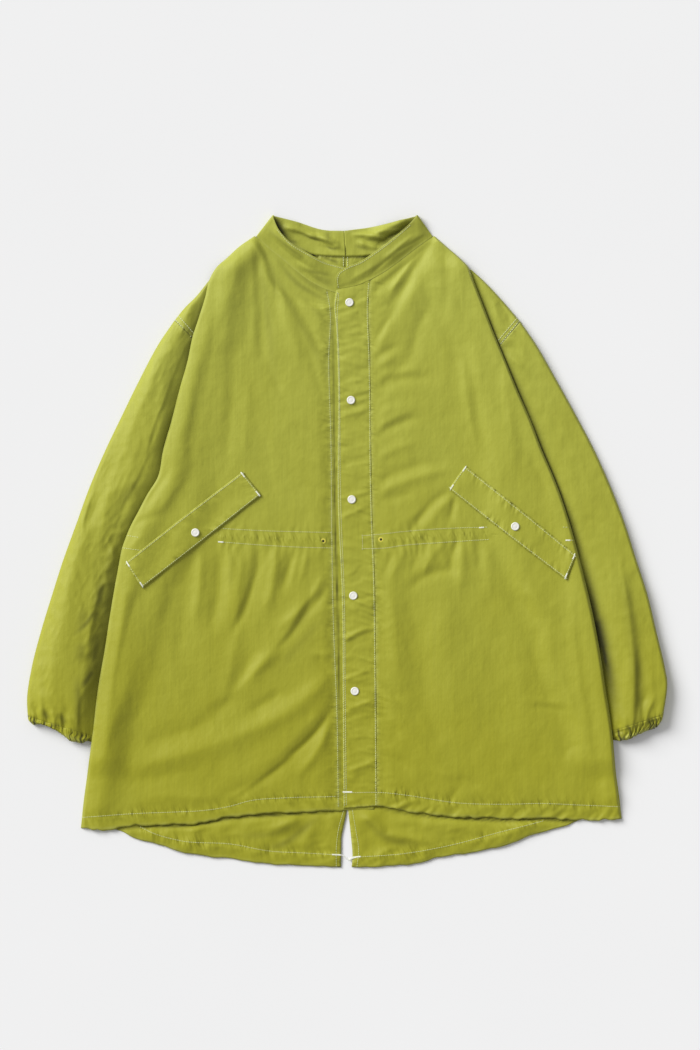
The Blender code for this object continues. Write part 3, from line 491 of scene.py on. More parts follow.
# Painted shade on the backs: a painted shadow under the collar's back, then painted shade in creases of the
# tail.
BACK_PAINTED_SHADE = {
    RIGHT: (
        (((-36, 370.5), (-6, 360)), 2.0, 0.5), (((-56, 373.6), (-36, 370.6)), 3.4, 1.0),
        (((-44, 372), (-2, 368.8)), 2.4, 0.7),
        (((-38, -360), (-60, -376), (-82, -393), (-106, -400)), 5.0, 0.34),
        (((-66, -362), (-92, -378), (-140, -384)), 5.0, 0.2),
    ),
    LEFT: (
        (((6, 369.4), (38, 371.4)), 2.8, 0.9), (((-2, 368.8), (12, 369.6)), 2.0, 0.5),
        (((24, -362), (48, -384), (96, -396)), 5.0, 0.28),
    ),
}
# Painted shade in the right front's creases, by the neck and lower down.
FRONT_PAINTED_SHADE_RIGHT = (
    (((-95, 372), (-66, 336), (-26, 312)), 3.6, 0.42), (((-76, 359), (-49, 336), (-22, 320)), 4.2, 0.45),
    (((-113, 384), (-98, 352), (-91, 318)), 3.6, 0.32), (((-112, 378), (-70, 300), (-24, 216)), 4.2, 0.22),
    (((-118, 392), (-104, 300), (-90, 190)), 5.0, 0.18), (((-60, 318), (-26, 284)), 3.4, 0.25),
    (((-18, -207), (-56, -250), (-104, -298)), 5.0, 0.26),
    (((-22, -92), (-60, -132), (-92, -172)), 6.0, 0.2), (((-150, -16), (-152, -60)), 5.0, 0.18),
    (((-118, -14), (-132, -70)), 5.0, 0.2), (((-80, -14), (-88, -60)), 4.0, 0.2),
)
# Painted shade on the sleeves, most of it a painted shadow along the body's edge.
BODY_EDGE_PAINTED_SHADE = {
    RIGHT: (
        (SIDE_EDGE[RIGHT][4:10], 6.0, 0.62), (SIDE_EDGE[RIGHT][9:14], 6.0, 0.5),
        (SIDE_EDGE[RIGHT][13:17], 4.0, 0.5), (SIDE_EDGE[RIGHT][15:22], 18.0, 0.6),
        (((-317, -50), (-319, -66), (-323, -90)), 7.0, 0.62), (((-322, -88), (-328, -108)), 6.0, 0.5),
        (((-321, -108), (-325, -140), (-331, -170)), 8.0, 0.6),
        (((-322, -84), (-336, -104), (-352, -120)), 3.6, 0.5),
        (((-318, -96), (-330, -128), (-340, -140)), 4.0, 0.45), (((-326, -163), (-345, -192)), 4.5, 0.7),
        (((-350, -174), (-348, -206), (-350, -246)), 5.0, 0.4), (((-393, -220), (-388, -232)), 4.0, 0.5),
        (((-371, -226), (-365, -238)), 4.0, 0.5), (((-340, -86), (-346, -118)), 7.0, 0.25),
        (((-343, -130), (-346, -158)), 8.0, 0.3), (((-230, 168), (-216, 205), (-208, 240)), 7.0, 0.35),
        (((-294, 46), (-272, 80)), 6.0, 0.25),
    ),
    LEFT: (
        (SIDE_EDGE[LEFT][3:12], 2.6, 0.95), (SIDE_EDGE[LEFT][9:18], 2.6, 1.0),
        (SIDE_EDGE[LEFT][4:14], 7.0, 0.3), (SIDE_EDGE[LEFT][13:18], 7.0, 0.6),
        (((302, -14), (312, -58), (323, -103), (333, -142), (340, -178), (348, -228)), 8.5, 0.85),
        (((318, -84), (324, -108), (336, -160)), 10.0, 1.0),
        (((316, -76), (325, -108), (333, -142), (341, -192)), 5.5, 1.0),
        (((373, -120), (377, -160), (378, -200), (375, -256)), 7.0, 0.45),
        (((360, -50), (369, -96), (375, -150)), 8.0, 0.2),
    ),
}

# Rows of pale stitches in plan, each with the pieces that it lies on.
STITCH_ROWS = (
    (("placket",), PLACKET_EDGE_ROW), (("placket",), PLACKET_TWIN_ROW), (("placket",), PLACKET_SEAM_ROW),
    (("front_right",), UNDERLAP_ROW),
    # waist channel
    *((("front_right",), row) for row in CHANNEL_ROWS[RIGHT]),
    *((("placket", "front_left"), row) for row in CHANNEL_ROWS[LEFT]),
    (("placket",), ((20, 7), (20, -10))),
    (("front_right",), ((-284, 7), (-272, 5))), (("front_right",), ((-291, -9), (-268, -12))),
    (("front_left",), ((281, 18), (289, 18))), (("front_left",), ((284, 1), (292, 1))),
    # hems, then the edges of the split
    (("front_right",), HEM_ROW[RIGHT]), (("placket", "front_left"), HEM_ROW[LEFT]),
    (("back_right",), TAIL_ROW[RIGHT]), (("back_left",), TAIL_ROW[LEFT]),
    (("back_right",), ((-5, -352), (-11, -374), (-14, -400), (-14, -422))),
    (("back_left",), ((7, -351), (11, -374), (15, -404), (13, -422))),
)

# Coarser twin rows of the centre back and the armholes.
TWIN_ROWS = (
    (("back_right",), ((-4.8, 368), (-4.7, 352))), (("back_left",), ((0.7, 368), (0.8, 352))),
    (("shoulder_right", "sleeve_right"), ((-222.8, 286.9), (-203, 266))),
    (("shoulder_right",), ((-218.8, 292.2), (-199, 269.6))),
    (("shoulder_left", "sleeve_left"), ((224, 286.2), (198, 254.2))),
    (("shoulder_left",), ((220.4, 289.0), (197, 261.4))),
)

# Thick white bar-tacks, given by their two ends.
TACKS = (
    (("front_right",), (-167, -1), (-161, -1.4)), (("placket",), (-5, -326), (6, -326)),
    (("front_left",), (172, 17.4), (177, 17.7)), (("back_right",), (-19, -407.4), (-9, -408)),
    (("back_left",), (7, -411), (17, -410)), (("front_left",), (284, 1), (289, 1)),
)

# fmt: on


def ramp(low, high, value):
    """0 below low, 1 above high, and an easy step between them; low may be the larger."""
    t = np.clip((value - low) / (high - low), 0, 1)
    return t * t * (3 - 2 * t)


def bell(value, width, middle=0):
    """Bell curve of height 1 over the middle."""
    return np.exp(-(((value - middle) / width) ** 2))


def smooth(at, values, q):
    """Cubic curve through the values, which stand at rising places, read at q."""
    at, values, q = (np.asarray(v, float) for v in (at, values, q))
    if len(at) < 3:
        return np.interp(q, at, values)
    slope = np.gradient(values, at)
    i = np.clip(np.searchsorted(at, q) - 1, 0, len(at) - 2)
    h = at[i + 1] - at[i]
    t = np.clip((q - at[i]) / h, 0, 1)
    near = values[i] * (1 + 2 * t) * (1 - t) ** 2 + values[i + 1] * t * t * (3 - 2 * t)
    return near + h * (slope[i] * t * (1 - t) ** 2 - slope[i + 1] * t * t * (1 - t))


def edge(points):
    """A smooth curve through the points as a function of 0 to 1 along its length."""
    points = np.array(points, float)
    length = np.concatenate([[0], np.cumsum(np.linalg.norm(np.diff(points, axis=0), axis=1))])
    length /= length[-1]
    return lambda t: np.stack([smooth(length, axis, t) for axis in points.T], axis=-1)


def joined(lines, shares):
    """Several curves as one, which may turn sharply where they meet, at the shares of its range."""
    curves = [edge(line) for line in lines]
    starts, ends = (0, *shares), (*shares, 1)

    def along(t):
        t = np.asarray(t, float)
        at = curves[0](np.clip(t / ends[0], 0, 1))
        for curve, start, end in zip(curves[1:], starts[1:], ends[1:]):
            here = curve(np.clip((t - start) / (end - start), 0, 1))
            at = np.where((t < start)[..., None], at, here)
        return at

    return along


def patch(left, right, top, bottom, across, down):
    """Plan points of a grid between four edges that meet at its corners."""
    u, v = np.meshgrid(across, down)
    tall, wide = u[..., None], v[..., None]
    sides = (1 - tall) * left(v) + tall * right(v)
    ends = (1 - wide) * top(u) + wide * bottom(u)
    zero, one = np.zeros(1), np.ones(1)
    corners = (1 - wide) * ((1 - tall) * left(zero) + tall * right(zero))
    corners = corners + wide * ((1 - tall) * left(one) + tall * right(one))
    return sides + ends - corners


def fold_places(fold, x, y):
    """Share along a fold's bowed line, distance to its left hand and distance past its ends."""
    x0, y0, x1, y1, bow = fold
    dx, dy = x1 - x0, y1 - y0
    length = math.hypot(dx, dy)
    along = ((x - x0) * dx + (y - y0) * dy) / length**2
    middle = np.clip(along, 0, 1)
    aside = ((y - y0) * dx - (x - x0) * dy) / length - bow * 4 * middle * (1 - middle)
    past = np.maximum(np.maximum(-along, along - 1), 0) * length
    return middle, aside, past


def folds(table, x, y):
    """Sum of the table's ridges and troughs at plan points, each fading towards its two ends."""
    total = np.zeros_like(x)
    for *line, half_width, height in table:
        middle, aside, past = fold_places(line, x, y)
        fade = np.clip(4 * middle * (1 - middle) + 0.35, 0, 1)
        total += height * fade * np.exp(-(np.abs(aside / half_width) ** 1.6) - (past / half_width) ** 2)
    return total


def laps(table, x, y):
    """Folds that swell up towards a line on its left hand and drop, within a width, on its right."""
    total = np.zeros_like(x)
    for *line, reach, height, width in table:
        middle, aside, past = fold_places(line, x, y)
        fade = np.clip(3.2 * middle * (1 - middle) + 0.3, 0, 1) * bell(past, 11)
        rise = np.exp(-((np.maximum(aside, 0) / reach) ** 1.3))
        total += height * fade * np.where(aside > 0, rise, bell(aside, width))
    return total


def rough(x, y, size_x, size_y, seed):
    """Smooth random heights from -1 to 1 at plan points, on a lattice of the given cell sizes."""
    lattice = np.random.default_rng(seed).uniform(-1, 1, (96, 96))
    gx, gy = np.asarray(x) / size_x + 40.3, np.asarray(y) / size_y + 44.7
    ix, iy = np.floor(gx).astype(int), np.floor(gy).astype(int)
    fx, fy = gx - ix, gy - iy
    fx, fy = fx * fx * (3 - 2 * fx), fy * fy * (3 - 2 * fy)
    corner = [lattice[(iy + j) % 96, (ix + i) % 96] for j in (0, 1) for i in (0, 1)]
    low, high = corner[0] * (1 - fx) + corner[1] * fx, corner[2] * (1 - fx) + corner[3] * fx
    return low * (1 - fy) + high * fy


def crumple(x, y, seed):
    """The cloth's small unevenness: soft swells, small creases and long upright streaks of the weave."""
    creases = 1 - np.abs(rough(x + 0.4 * y, y - 0.4 * x, 17, 26, seed + 1)) * 2
    streaks = 0.5 * rough(x, y, 3.2, 90, seed + 2) + 0.6 * rough(x, y, 8, 110, seed + 3)
    swells = 0.55 * rough(x, y, 34, 60, seed)
    return swells + 0.16 * creases + 0.05 * streaks + 0.10 * rough(x, y, 9, 12, seed + 4)


def nearest_steps(line, x, y, fineness):
    """For each short step of a smooth plan line: the points' places along it, distances and hands."""
    path = edge(line)(np.linspace(0, 1, fineness * len(line)))
    run = 0.0
    for a, b in zip(path, path[1:]):
        step = b - a
        length = math.hypot(*step)
        t = np.clip(((x - a[0]) * step[0] + (y - a[1]) * step[1]) / length**2, 0, 1)
        away = np.hypot(x - a[0] - t * step[0], y - a[1] - t * step[1])
        hand = np.where((y - a[1]) * step[0] < (x - a[0]) * step[1], -1, 1)
        yield run + t * length, away, hand
        run += length


def beside(line, x, y):
    """Length along a smooth plan line and distance from it, for each plan point."""
    best = np.full(np.shape(x), 1e9)
    place = np.zeros(np.shape(x))
    for run, away, _ in nearest_steps(line, x, y, 6):
        nearer = away < best
        best = np.where(nearer, away, best)
        place = np.where(nearer, run, place)
    return place, best


def pucker(line, x, y, pitch, height, reach, seed):
    """Small waves that a row of stitches pulls into the cloth beside it, and its slight groove."""
    place, away = beside(line, x, y)
    phase = place / pitch + 1.1 * rough(place, away, 2.3 * pitch, 30, seed)
    size = 0.55 + 0.65 * rough(place, 0 * place, 3.1 * pitch, 1, seed + 1)
    waves = np.sin(2 * np.pi * phase) * size * np.exp(-((away / reach) ** 1.5))
    return height * waves - 0.35 * bell(away, 2.2)


def dense(fine_ends, count):
    """Places from 0 to 1, closer together near both ends."""
    t = np.linspace(0, 1, count)
    return t - fine_ends * np.sin(2 * np.pi * t) / (2 * np.pi)


def side_x(side, y):
    """X of the body's side edge at height y."""
    table = np.array(SIDE_EDGE[side][::-1], float)
    return smooth(table[:, 1], table[:, 0], y)


def inner_x(side, y):
    """X of the hidden inner edge of the shoulder and sleeve under the body."""
    stations = SHOULDER[side][:-1] + SLEEVE[side]
    table = np.array(stations[::-1], float)
    return np.interp(y, table[:, 3], table[:, 2])


def lift(side, x, y):
    """Height of the back's underside: on the floor, or over the sleeve near the side edge."""
    inside = side * (inner_x(side, y) - x)
    return LIFT * ramp(42, 8, inside) * ramp(378, 352, y) * ramp(-312, -280, y)


def from_edges(plan):
    """Distance of each grid point to its row's first and last point."""
    return (np.linalg.norm(plan - plan[:, :1], axis=-1), np.linalg.norm(plan - plan[:, -1:], axis=-1))


def from_ends(plan):
    """Distance of each grid point to its column's first and last point."""
    return (np.linalg.norm(plan - plan[:1], axis=-1), np.linalg.norm(plan - plan[-1:], axis=-1))


def grid_faces(rows, columns):
    """Quads of a rows x columns grid of points, as index rows."""
    first = np.arange(rows * columns).reshape(rows, columns)
    return np.stack([first[:-1, :-1], first[:-1, 1:], first[1:, 1:], first[1:, :-1]], axis=-1).reshape(-1, 4)


def add_object(name, data):
    """A new object in the scene."""
    made = bpy.data.objects.new(name, data)
    bpy.context.scene.collection.objects.link(made)
    return made


def mesh_object(name, points, faces):
    """A smooth-shaded mesh from points in millimetres."""
    mesh = bpy.data.meshes.new(name)
    mesh.from_pydata((np.asarray(points) * MM).tolist(), [], np.asarray(faces).tolist())
    mesh.update()
    mesh.shade_smooth()
    return add_object(name, mesh)


def plan_area(points):
    """Area of a grid of points, in square metres."""
    a, b = np.diff(points, axis=1)[:-1], np.diff(points, axis=0)[:, :-1]
    return np.linalg.norm(np.cross(a, b), axis=-1).sum() * MM * MM


def sheet_object(name, points, wall, around=False):
    """A sheet with its wall inside the outer face that the points give; around closes its rows."""
    rows, columns = points.shape[:2]
    faces = grid_faces(rows, columns)
    flat = points.reshape(-1, 3)
    if around:
        faces = np.where(faces % columns == columns - 1, faces - (columns - 1), faces)
    up = np.cross(flat[faces[:, 1]] - flat[faces[:, 0]], flat[faces[:, 3]] - flat[faces[:, 0]])[:, 2]
    if around:
        top = flat[faces].mean(axis=1)[:, 2] > np.median(flat[:, 2])
        up = up[top]
    if up.sum() < 0:
        faces = faces[:, ::-1]
    if around:
        keep = np.arange(len(flat)) % columns != columns - 1
        index = np.cumsum(keep) - 1
        flat, faces = flat[keep], index[faces]
    piece = mesh_object(name, flat, faces)
    shell = piece.modifiers.new("wall", "SOLIDIFY")
    shell.thickness = wall * MM
    shell.offset = -1
    piece["plan_area"] = float(np.abs(plan_area(points)))
    return piece


def points_of(piece):
    """X, y and z of a piece's points in millimetres."""
    co = np.zeros(len(piece.data.vertices) * 3, np.float32)
    piece.data.vertices.foreach_get("co", co)
    return co[0::3] / MM, co[1::3] / MM, co[2::3] / MM


def store(piece, name, values):
    """Keeps a number or a vector for each point, as an attribute that the cloth's finish reads."""
    kind, field = ("FLOAT", "value") if values.ndim == 1 else ("FLOAT_VECTOR", "vector")
    attribute = piece.data.attributes.new(name, kind, "POINT")
    attribute.data.foreach_set(field, values.astype(np.float32).ravel())


def wear_along(piece, lines, width, strength):
    """Marks the faded cloth along seams and edges."""
    x, y, _ = points_of(piece)
    worn = np.zeros(len(x))
    for number, line in enumerate(lines):
        place, away = beside(line, x, y)
        uneven = 0.6 + 0.4 * rough(place, 0 * place, 5, 1, 900 + number)
        worn = np.maximum(worn, uneven * bell(away, width))
    store(piece, "wear", strength * worn)


def mark_seams(piece, name, lines):
    """Keeps each point's place along the nearest of the seams, and its signed and plain distance."""
    x, y, _ = points_of(piece)
    seam = np.zeros((len(x), 3))
    seam[:, 1:] = NO_SEAM
    for number, line in enumerate(lines):
        for place, away, hand in nearest_steps(line, x, y, 8):
            nearer = away < seam[:, 2]
            seam[nearer, 0] = place[nearer] + SEAM_SPACING * number
            seam[nearer, 1] = (away * hand)[nearer]
            seam[nearer, 2] = away[nearer]
    store(piece, name, seam * MM)


def paint_shade_along(piece, lines, uneven=0.0, slots=None):
    """Paints shade into the cloth's colour along lines, given with half width, strength and, if need be,
    highest z.

    The slots between a cuff's gathers are given by the ends of its seam and the gathers' seed.
    """
    x, y, z = points_of(piece)
    depth = np.zeros(len(x))
    for line, half_width, strength, *highest in lines:
        place, away = beside(line, x, y)
        low = (z < highest[0]) & (np.abs(x) < COLLAR_INSIDE_X) if highest else 1
        whole = np.linalg.norm(np.diff(np.array(line, float), axis=0), axis=1).sum()
        ends = np.clip(np.minimum(place, whole - place) / (0.3 * whole), 0, 1) * 0.75 + 0.25
        broken = 1 - uneven * (0.5 + 0.5 * rough(place, 0 * place, 23, 1, 77))
        depth = np.maximum(depth, low * strength * ends * broken * bell(away, half_width))
    if slots:
        depth = np.maximum(depth, cuff_slot_shade(*slots, x, y, z))
    store(piece, "painted_shade", depth)


def cuff_slot_shade(seam, seed, x, y, z):
    """Painted shade in the slots between a cuff's gathers, on its top and from the sleeve's end down."""
    x0, y0, x1, y1 = seam
    length = math.hypot(x1 - x0, y1 - y0)
    dx, dy = (x1 - x0) / length, (y1 - y0) / length
    across = (x - x0) * dx + (y - y0) * dy
    past = np.abs((y - y0) * dx - (x - x0) * dy) * np.sign(-((y - y0) - (x - x0) * dy / dx))
    slot = ramp(-0.05, -0.65, cuff_lumps(across, 20 * past / 14, seed))
    return 0.95 * slot * ramp(-5, 2, past) * (z > 2)


def finish_cloth(piece, nodes, seams_across, seams_down):
    """Gives a cloth piece its seam marks, its finish and its place in the frame, and works out the size of
    its cut.
    """
    mark_seams(piece, "seam_across", seams_across)
    mark_seams(piece, "seam_down", seams_down)
    piece.data.materials.append(bpy.data.materials["parka_cloth"])
    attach(piece, "root")
    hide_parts(*nodes)
    boxes = [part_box(node) for node in nodes]
    low, high = np.min([box[0] for box in boxes], axis=0), np.max([box[1] for box in boxes], axis=0)
    width, length = float(high[0] - low[0]), float(high[1] - low[1])
    area = piece["plan_area"]
    if width * length < area:  # a tube's cut goes all round
        length = area / width
    area = max(area, LEAST_CUT * width * length)


def surface(piece):
    """Search tree over a piece's outer face."""
    mesh = piece.data
    return BVHTree.FromPolygons([v.co for v in mesh.vertices], [p.vertices for p in mesh.polygons])


def drop(trees, x, y):
    """Highest outer face under a plan point: its height in millimetres."""
    tops = []
    for tree in trees:
        hit = tree.ray_cast(Vector((x * MM, y * MM, HIGH_ABOVE * MM)), Vector((0, 0, -1)))[0]
        if hit:
            tops.append(hit.z / MM)
    return max(tops) if tops else BARE_CLOTH_Z


def drop_smooth(trees, x, y, reach):
    """Mean height of the cloth at a plan point and at six points round it."""
    turns = np.linspace(0, 2 * math.pi, 7)[:-1]
    around = [(0, 0)] + [(reach * math.cos(a), reach * math.sin(a)) for a in turns]
    return float(np.mean([drop(trees, x + i, y + j) for i, j in around]))


# ---------------------------------------------------------------- sizes and colours


def size_property(name, default, description):
    """A size that a user can change, in metres."""
    return FloatProperty(name=name, description=description, default=default, unit="LENGTH")


def factor_property(name, default, description):
    """A scale that a user can change."""
    return FloatProperty(name=name, description=description, default=default, subtype="FACTOR")


def colour_property(name, default, description):
    """A colour that a user can change."""
    return FloatVectorProperty(name=name, description=description, default=default, subtype="COLOR")


class ParkaCloth(PropertyGroup):
    wall: size_property("Wall", 0.0008, "Thickness of one layer of cloth")
    puff: size_property("Puff", 0.0032, "Mean height of the front over the back")
    most_puff: size_property("Most puff", 0.0085, "Height over the back that no fold of the front passes")
    depth: factor_property("Fold depth", 1.0, "Scale of the front's folds")
    crumple: factor_property("Crumple", 0.8, "Scale of the front's unevenness")


class ParkaStitches(PropertyGroup):
    pitch: size_property("Pitch", 0.0030, "Length of a stitch and its gap")
    length: size_property("Length", 0.0025, "Length of the thread that shows")
    width: size_property("Thread", 0.00068, "Thickness of the thread")
    twin_pitch: size_property("Twin pitch", 0.0032, "Stitch and gap of the armholes' twin rows")
    twin_length: size_property("Twin length", 0.0028, "Thread that shows in the twin rows")
    twin_width: size_property("Twin thread", 0.00105, "Thickness of the twin rows' thread")
    tack_pitch: size_property("Tack pitch", 0.0011, "Stitch and gap of a bar-tack")
    tack_length: size_property("Tack length", 0.0016, "Thread that shows in a bar-tack")
    tack_width: size_property("Tack thread", 0.00072, "Thickness of a bar-tack's thread")
    tack_rows: IntProperty(name="Tack rows", description="Rows of thread in a bar-tack", default=3)


class ParkaColours(PropertyGroup):
    # The upper cloth's colour holds painted sheen, and the lower cloth's colour holds a painted dimming of
    # the light.
    sheen_lit_high_cloth: colour_property("Upper cloth", (0.350, 0.368, 0.045), "Cloth at the shoulders")
    dim_lit_low_cloth: colour_property("Lower cloth", (0.302, 0.298, 0.013), "Cloth at the hem")
    thread: colour_property("Thread", (0.62, 0.66, 0.36), "Top-stitching")
    tack: colour_property("Tack", (0.83, 0.84, 0.74), "Bar-tacks")
    snap: colour_property("Snap", (0.76, 0.75, 0.69), "Snap caps")
    brass: colour_property("Brass", (0.60, 0.54, 0.06), "Eyelets")


class ParkaStage(PropertyGroup):
    field: size_property("Field", 1.365, "Height of the camera's view")
    distance: size_property("Distance", 6.0, "Camera over the floor")
    sun: FloatProperty(name="Sun", description="Strength of the light from the upper left", default=3.84)
    sky: FloatProperty(name="Sky", description="Strength of the even light", default=0.455)


# ---------------------------------------------------------------- materials


def nodes_of(material):
    """The material's node tree and its shader."""
    material.use_nodes = True
    tree = material.node_tree
    return tree, tree.nodes["Principled BSDF"]


def add_node(tree, kind, **values):
    """A node with its properties and inputs set by name; a socket given for an input is linked to it."""
    node = tree.nodes.new(kind)
    for name, value in values.items():
        if name not in node.inputs:
            setattr(node, name, value)
        elif isinstance(value, bpy.types.NodeSocket):
            tree.links.new(value, node.inputs[name])
        else:
            node.inputs[name].default_value = value
    return node


def stretched_noise(tree, coordinates, stretch, detail):
    """Noise on Object coordinates, stretched by a Mapping node's scale."""
    mapping = add_node(tree, "ShaderNodeMapping", Scale=stretch, Vector=coordinates.outputs["Object"])
    return add_node(tree, "ShaderNodeTexNoise", Scale=1.0, Detail=detail, Vector=mapping.outputs["Vector"])


def mix_colour(tree, factor, low, high):
    """Colour ramp from low to high by a noise's value round its middle."""
    blend = add_node(tree, "ShaderNodeValToRGB", Fac=factor)
    for stop, position, colour in zip(blend.color_ramp.elements, (0.3, 0.7), (low, high)):
        stop.position, stop.color = position, (*colour, 1)
    return blend


def shade(colour, gain):
    """A colour made paler or darker."""
    return tuple(min(1.0, c * gain) for c in colour)


def math_node(tree, operation, *inputs):
    """A Math node whose inputs are sockets or numbers; its result socket is returned."""
    node = tree.nodes.new("ShaderNodeMath")
    node.operation = operation
    for socket, value in zip(node.inputs, inputs):
        if isinstance(value, (int, float)):
            socket.default_value = value
        else:
            tree.links.new(value, socket)
    return node.outputs[0]


def seam_wrinkles(tree, mark, pitch, length, turn, reach, height):
    """Short uneven wrinkles across the nearest seam: noise stretched away from it, gone beyond its reach."""
    seam = add_node(tree, "ShaderNodeAttribute", attribute_name=mark).outputs["Vector"]
    mapping = add_node(tree, "ShaderNodeMapping", vector_type="TEXTURE", Vector=seam)
    mapping.inputs["Scale"].default_value = (pitch, length, 1000)
    mapping.inputs["Rotation"].default_value = (0, 0, math.radians(turn))
    noise = add_node(tree, "ShaderNodeTexNoise", Scale=1.0, Detail=1.5, Roughness=0.55)
    tree.links.new(mapping.outputs["Vector"], noise.inputs["Vector"])
    parts = add_node(tree, "ShaderNodeSeparateXYZ", Vector=seam)
    patches = add_node(tree, "ShaderNodeTexNoise", Scale=21.0, Detail=1.0, Vector=seam)
    gain = math_node(tree, "MULTIPLY_ADD", patches.outputs["Fac"], 3.2 * height, -0.7 * height)
    gain = math_node(tree, "MAXIMUM", gain, 0.15 * height)
    near = math_node(tree, "MULTIPLY_ADD", parts.outputs["Z"], -1 / reach, 1.0)
    near = math_node(tree, "MAXIMUM", near, 0.0)
    fade = math_node(tree, "MULTIPLY", near, near)
    level = math_node(tree, "SUBTRACT", noise.outputs["Fac"], 0.5)
    return math_node(tree, "MULTIPLY", math_node(tree, "MULTIPLY", level, fade), gain)


def mixed(tree, kind, factor, first, second):
    """A colour Mix node's result, from sockets or values for its factor and its two colours."""
    node = add_node(tree, "ShaderNodeMix", data_type="RGBA", blend_type=kind)
    for number, value in ((0, factor), (6, first), (7, second)):
        if isinstance(value, bpy.types.NodeSocket):
            tree.links.new(value, node.inputs[number])
        else:
            node.inputs[number].default_value = value
    return node.outputs[2]


def cloth_material(low, high):
    """Plain weave with upright slubs, pulled seams, small creases and faded edges; its colour also holds
    painted sheen towards the shoulders, painted dimming towards the hem and painted shade in deep folds.
    """
    material = bpy.data.materials.new("parka_cloth")
    tree, shader = nodes_of(material)
    coordinates = tree.nodes.new("ShaderNodeTexCoord")
    place = coordinates.outputs["Object"]
    # colour: paler towards the shoulders as painted sheen and darker towards the hem as a painted dimming of
    # the light, with clouds, slubs, faded edges and painted shade in deep places
    height = add_node(tree, "ShaderNodeSeparateXYZ", Vector=place).outputs["Y"]
    tall = add_node(tree, "ShaderNodeMapRange", Value=height, **{"From Min": -0.30, "From Max": 0.33})
    clouds = stretched_noise(tree, coordinates, (9, 7, 9), 4.0)
    cloudy = math_node(tree, "MULTIPLY_ADD", clouds.outputs["Fac"], 0.5, -0.25)
    cloudy = math_node(tree, "ADD", tall.outputs["Result"], cloudy)
    colour = mixed(tree, "MIX", cloudy, (*low, 1), (*high, 1))
    slubs = stretched_noise(tree, coordinates, (700, 11, 40), 3.0).outputs["Fac"]
    warp = mix_colour(tree, slubs, (0.965,) * 3, (1.035,) * 3)
    colour = mixed(tree, "MULTIPLY", 1.0, colour, warp.outputs["Color"])
    faded = (*shade(high, 1.22)[:2], high[2] * 2.6, 1)
    # painted shade: near black made from the lower cloth's colour, mixed in by the painted shade attribute
    shade_paint_colour = (*shade(low, 0.10)[:2], low[2] * 0.10, 1)
    for mark, marked in (("wear", faded), ("painted_shade", shade_paint_colour)):
        share = add_node(tree, "ShaderNodeAttribute", attribute_name=mark).outputs["Fac"]
        colour = mixed(tree, "MIX", share, colour, marked)
    # relief in metres: wrinkles pulled by the seams, soft dents and fine creases
    pulls = []
    for mark, turn in (("seam_across", 1), ("seam_down", -1)):
        pulls.append(seam_wrinkles(tree, mark, 0.0038, 0.013, 14 * turn, 0.0075, 0.0026))
        pulls.append(seam_wrinkles(tree, mark, 0.0100, 0.034, 26 * turn, 0.0190, 0.0058))
    dents = stretched_noise(tree, coordinates, (46, 34, 40), 3.0)
    creases = stretched_noise(tree, coordinates, (120, 70, 60), 2.0)
    creases.noise_type = "RIDGED_MULTIFRACTAL"
    relief = pulls[0]
    for pull in pulls[1:]:
        relief = math_node(tree, "ADD", relief, pull)
    relief = math_node(tree, "MULTIPLY_ADD", dents.outputs["Fac"], 0.0016, relief)
    relief = math_node(tree, "MULTIPLY_ADD", creases.outputs["Fac"], 0.00016, relief)
    weave = []
    for way in "XY":
        wave = add_node(tree, "ShaderNodeTexWave", Scale=560.0, Distortion=1.2, bands_direction=way)
        wave.inputs["Detail Scale"].default_value = 30.0
        tree.links.new(place, wave.inputs["Vector"])
        weave.append(wave.outputs["Fac"])
    weave = math_node(tree, "MULTIPLY", *weave)
    normal = add_node(tree, "ShaderNodeBump", Strength=1.0, Distance=1.0, Height=relief).outputs["Normal"]
    for gain, depth, field in ((0.30, 0.00010, weave), (0.5, 0.00011, slubs)):
        bump = add_node(tree, "ShaderNodeBump", Strength=gain, Distance=depth, Height=field, Normal=normal)
        normal = bump.outputs["Normal"]
    tree.links.new(colour, shader.inputs["Base Color"])
    tree.links.new(normal, shader.inputs["Normal"])
    shader.inputs["Roughness"].default_value = 0.58
    shader.inputs["Specular IOR Level"].default_value = 0.28
    shader.inputs["Sheen Weight"].default_value = 0.10
    shader.inputs["Sheen Roughness"].default_value = 0.45
    return material


def speckled_material(name, colour, roughness, metallic, scale, gain, bump_depth):
    """A small part's finish: its colour varied by noise, with a fine surface bump."""
    material = bpy.data.materials.new(name)
    tree, shader = nodes_of(material)
    coordinates = tree.nodes.new("ShaderNodeTexCoord")
    noise = stretched_noise(tree, coordinates, (scale,) * 3, 4.0).outputs["Fac"]
    blend = mix_colour(tree, noise, shade(colour, 1 - gain), shade(colour, 1 + gain))
    bump = add_node(tree, "ShaderNodeBump", Strength=0.3, Distance=bump_depth, Height=noise)
    tree.links.new(blend.outputs["Color"], shader.inputs["Base Color"])
    tree.links.new(bump.outputs["Normal"], shader.inputs["Normal"])
    shader.inputs["Roughness"].default_value = roughness
    shader.inputs["Metallic"].default_value = metallic
    return material


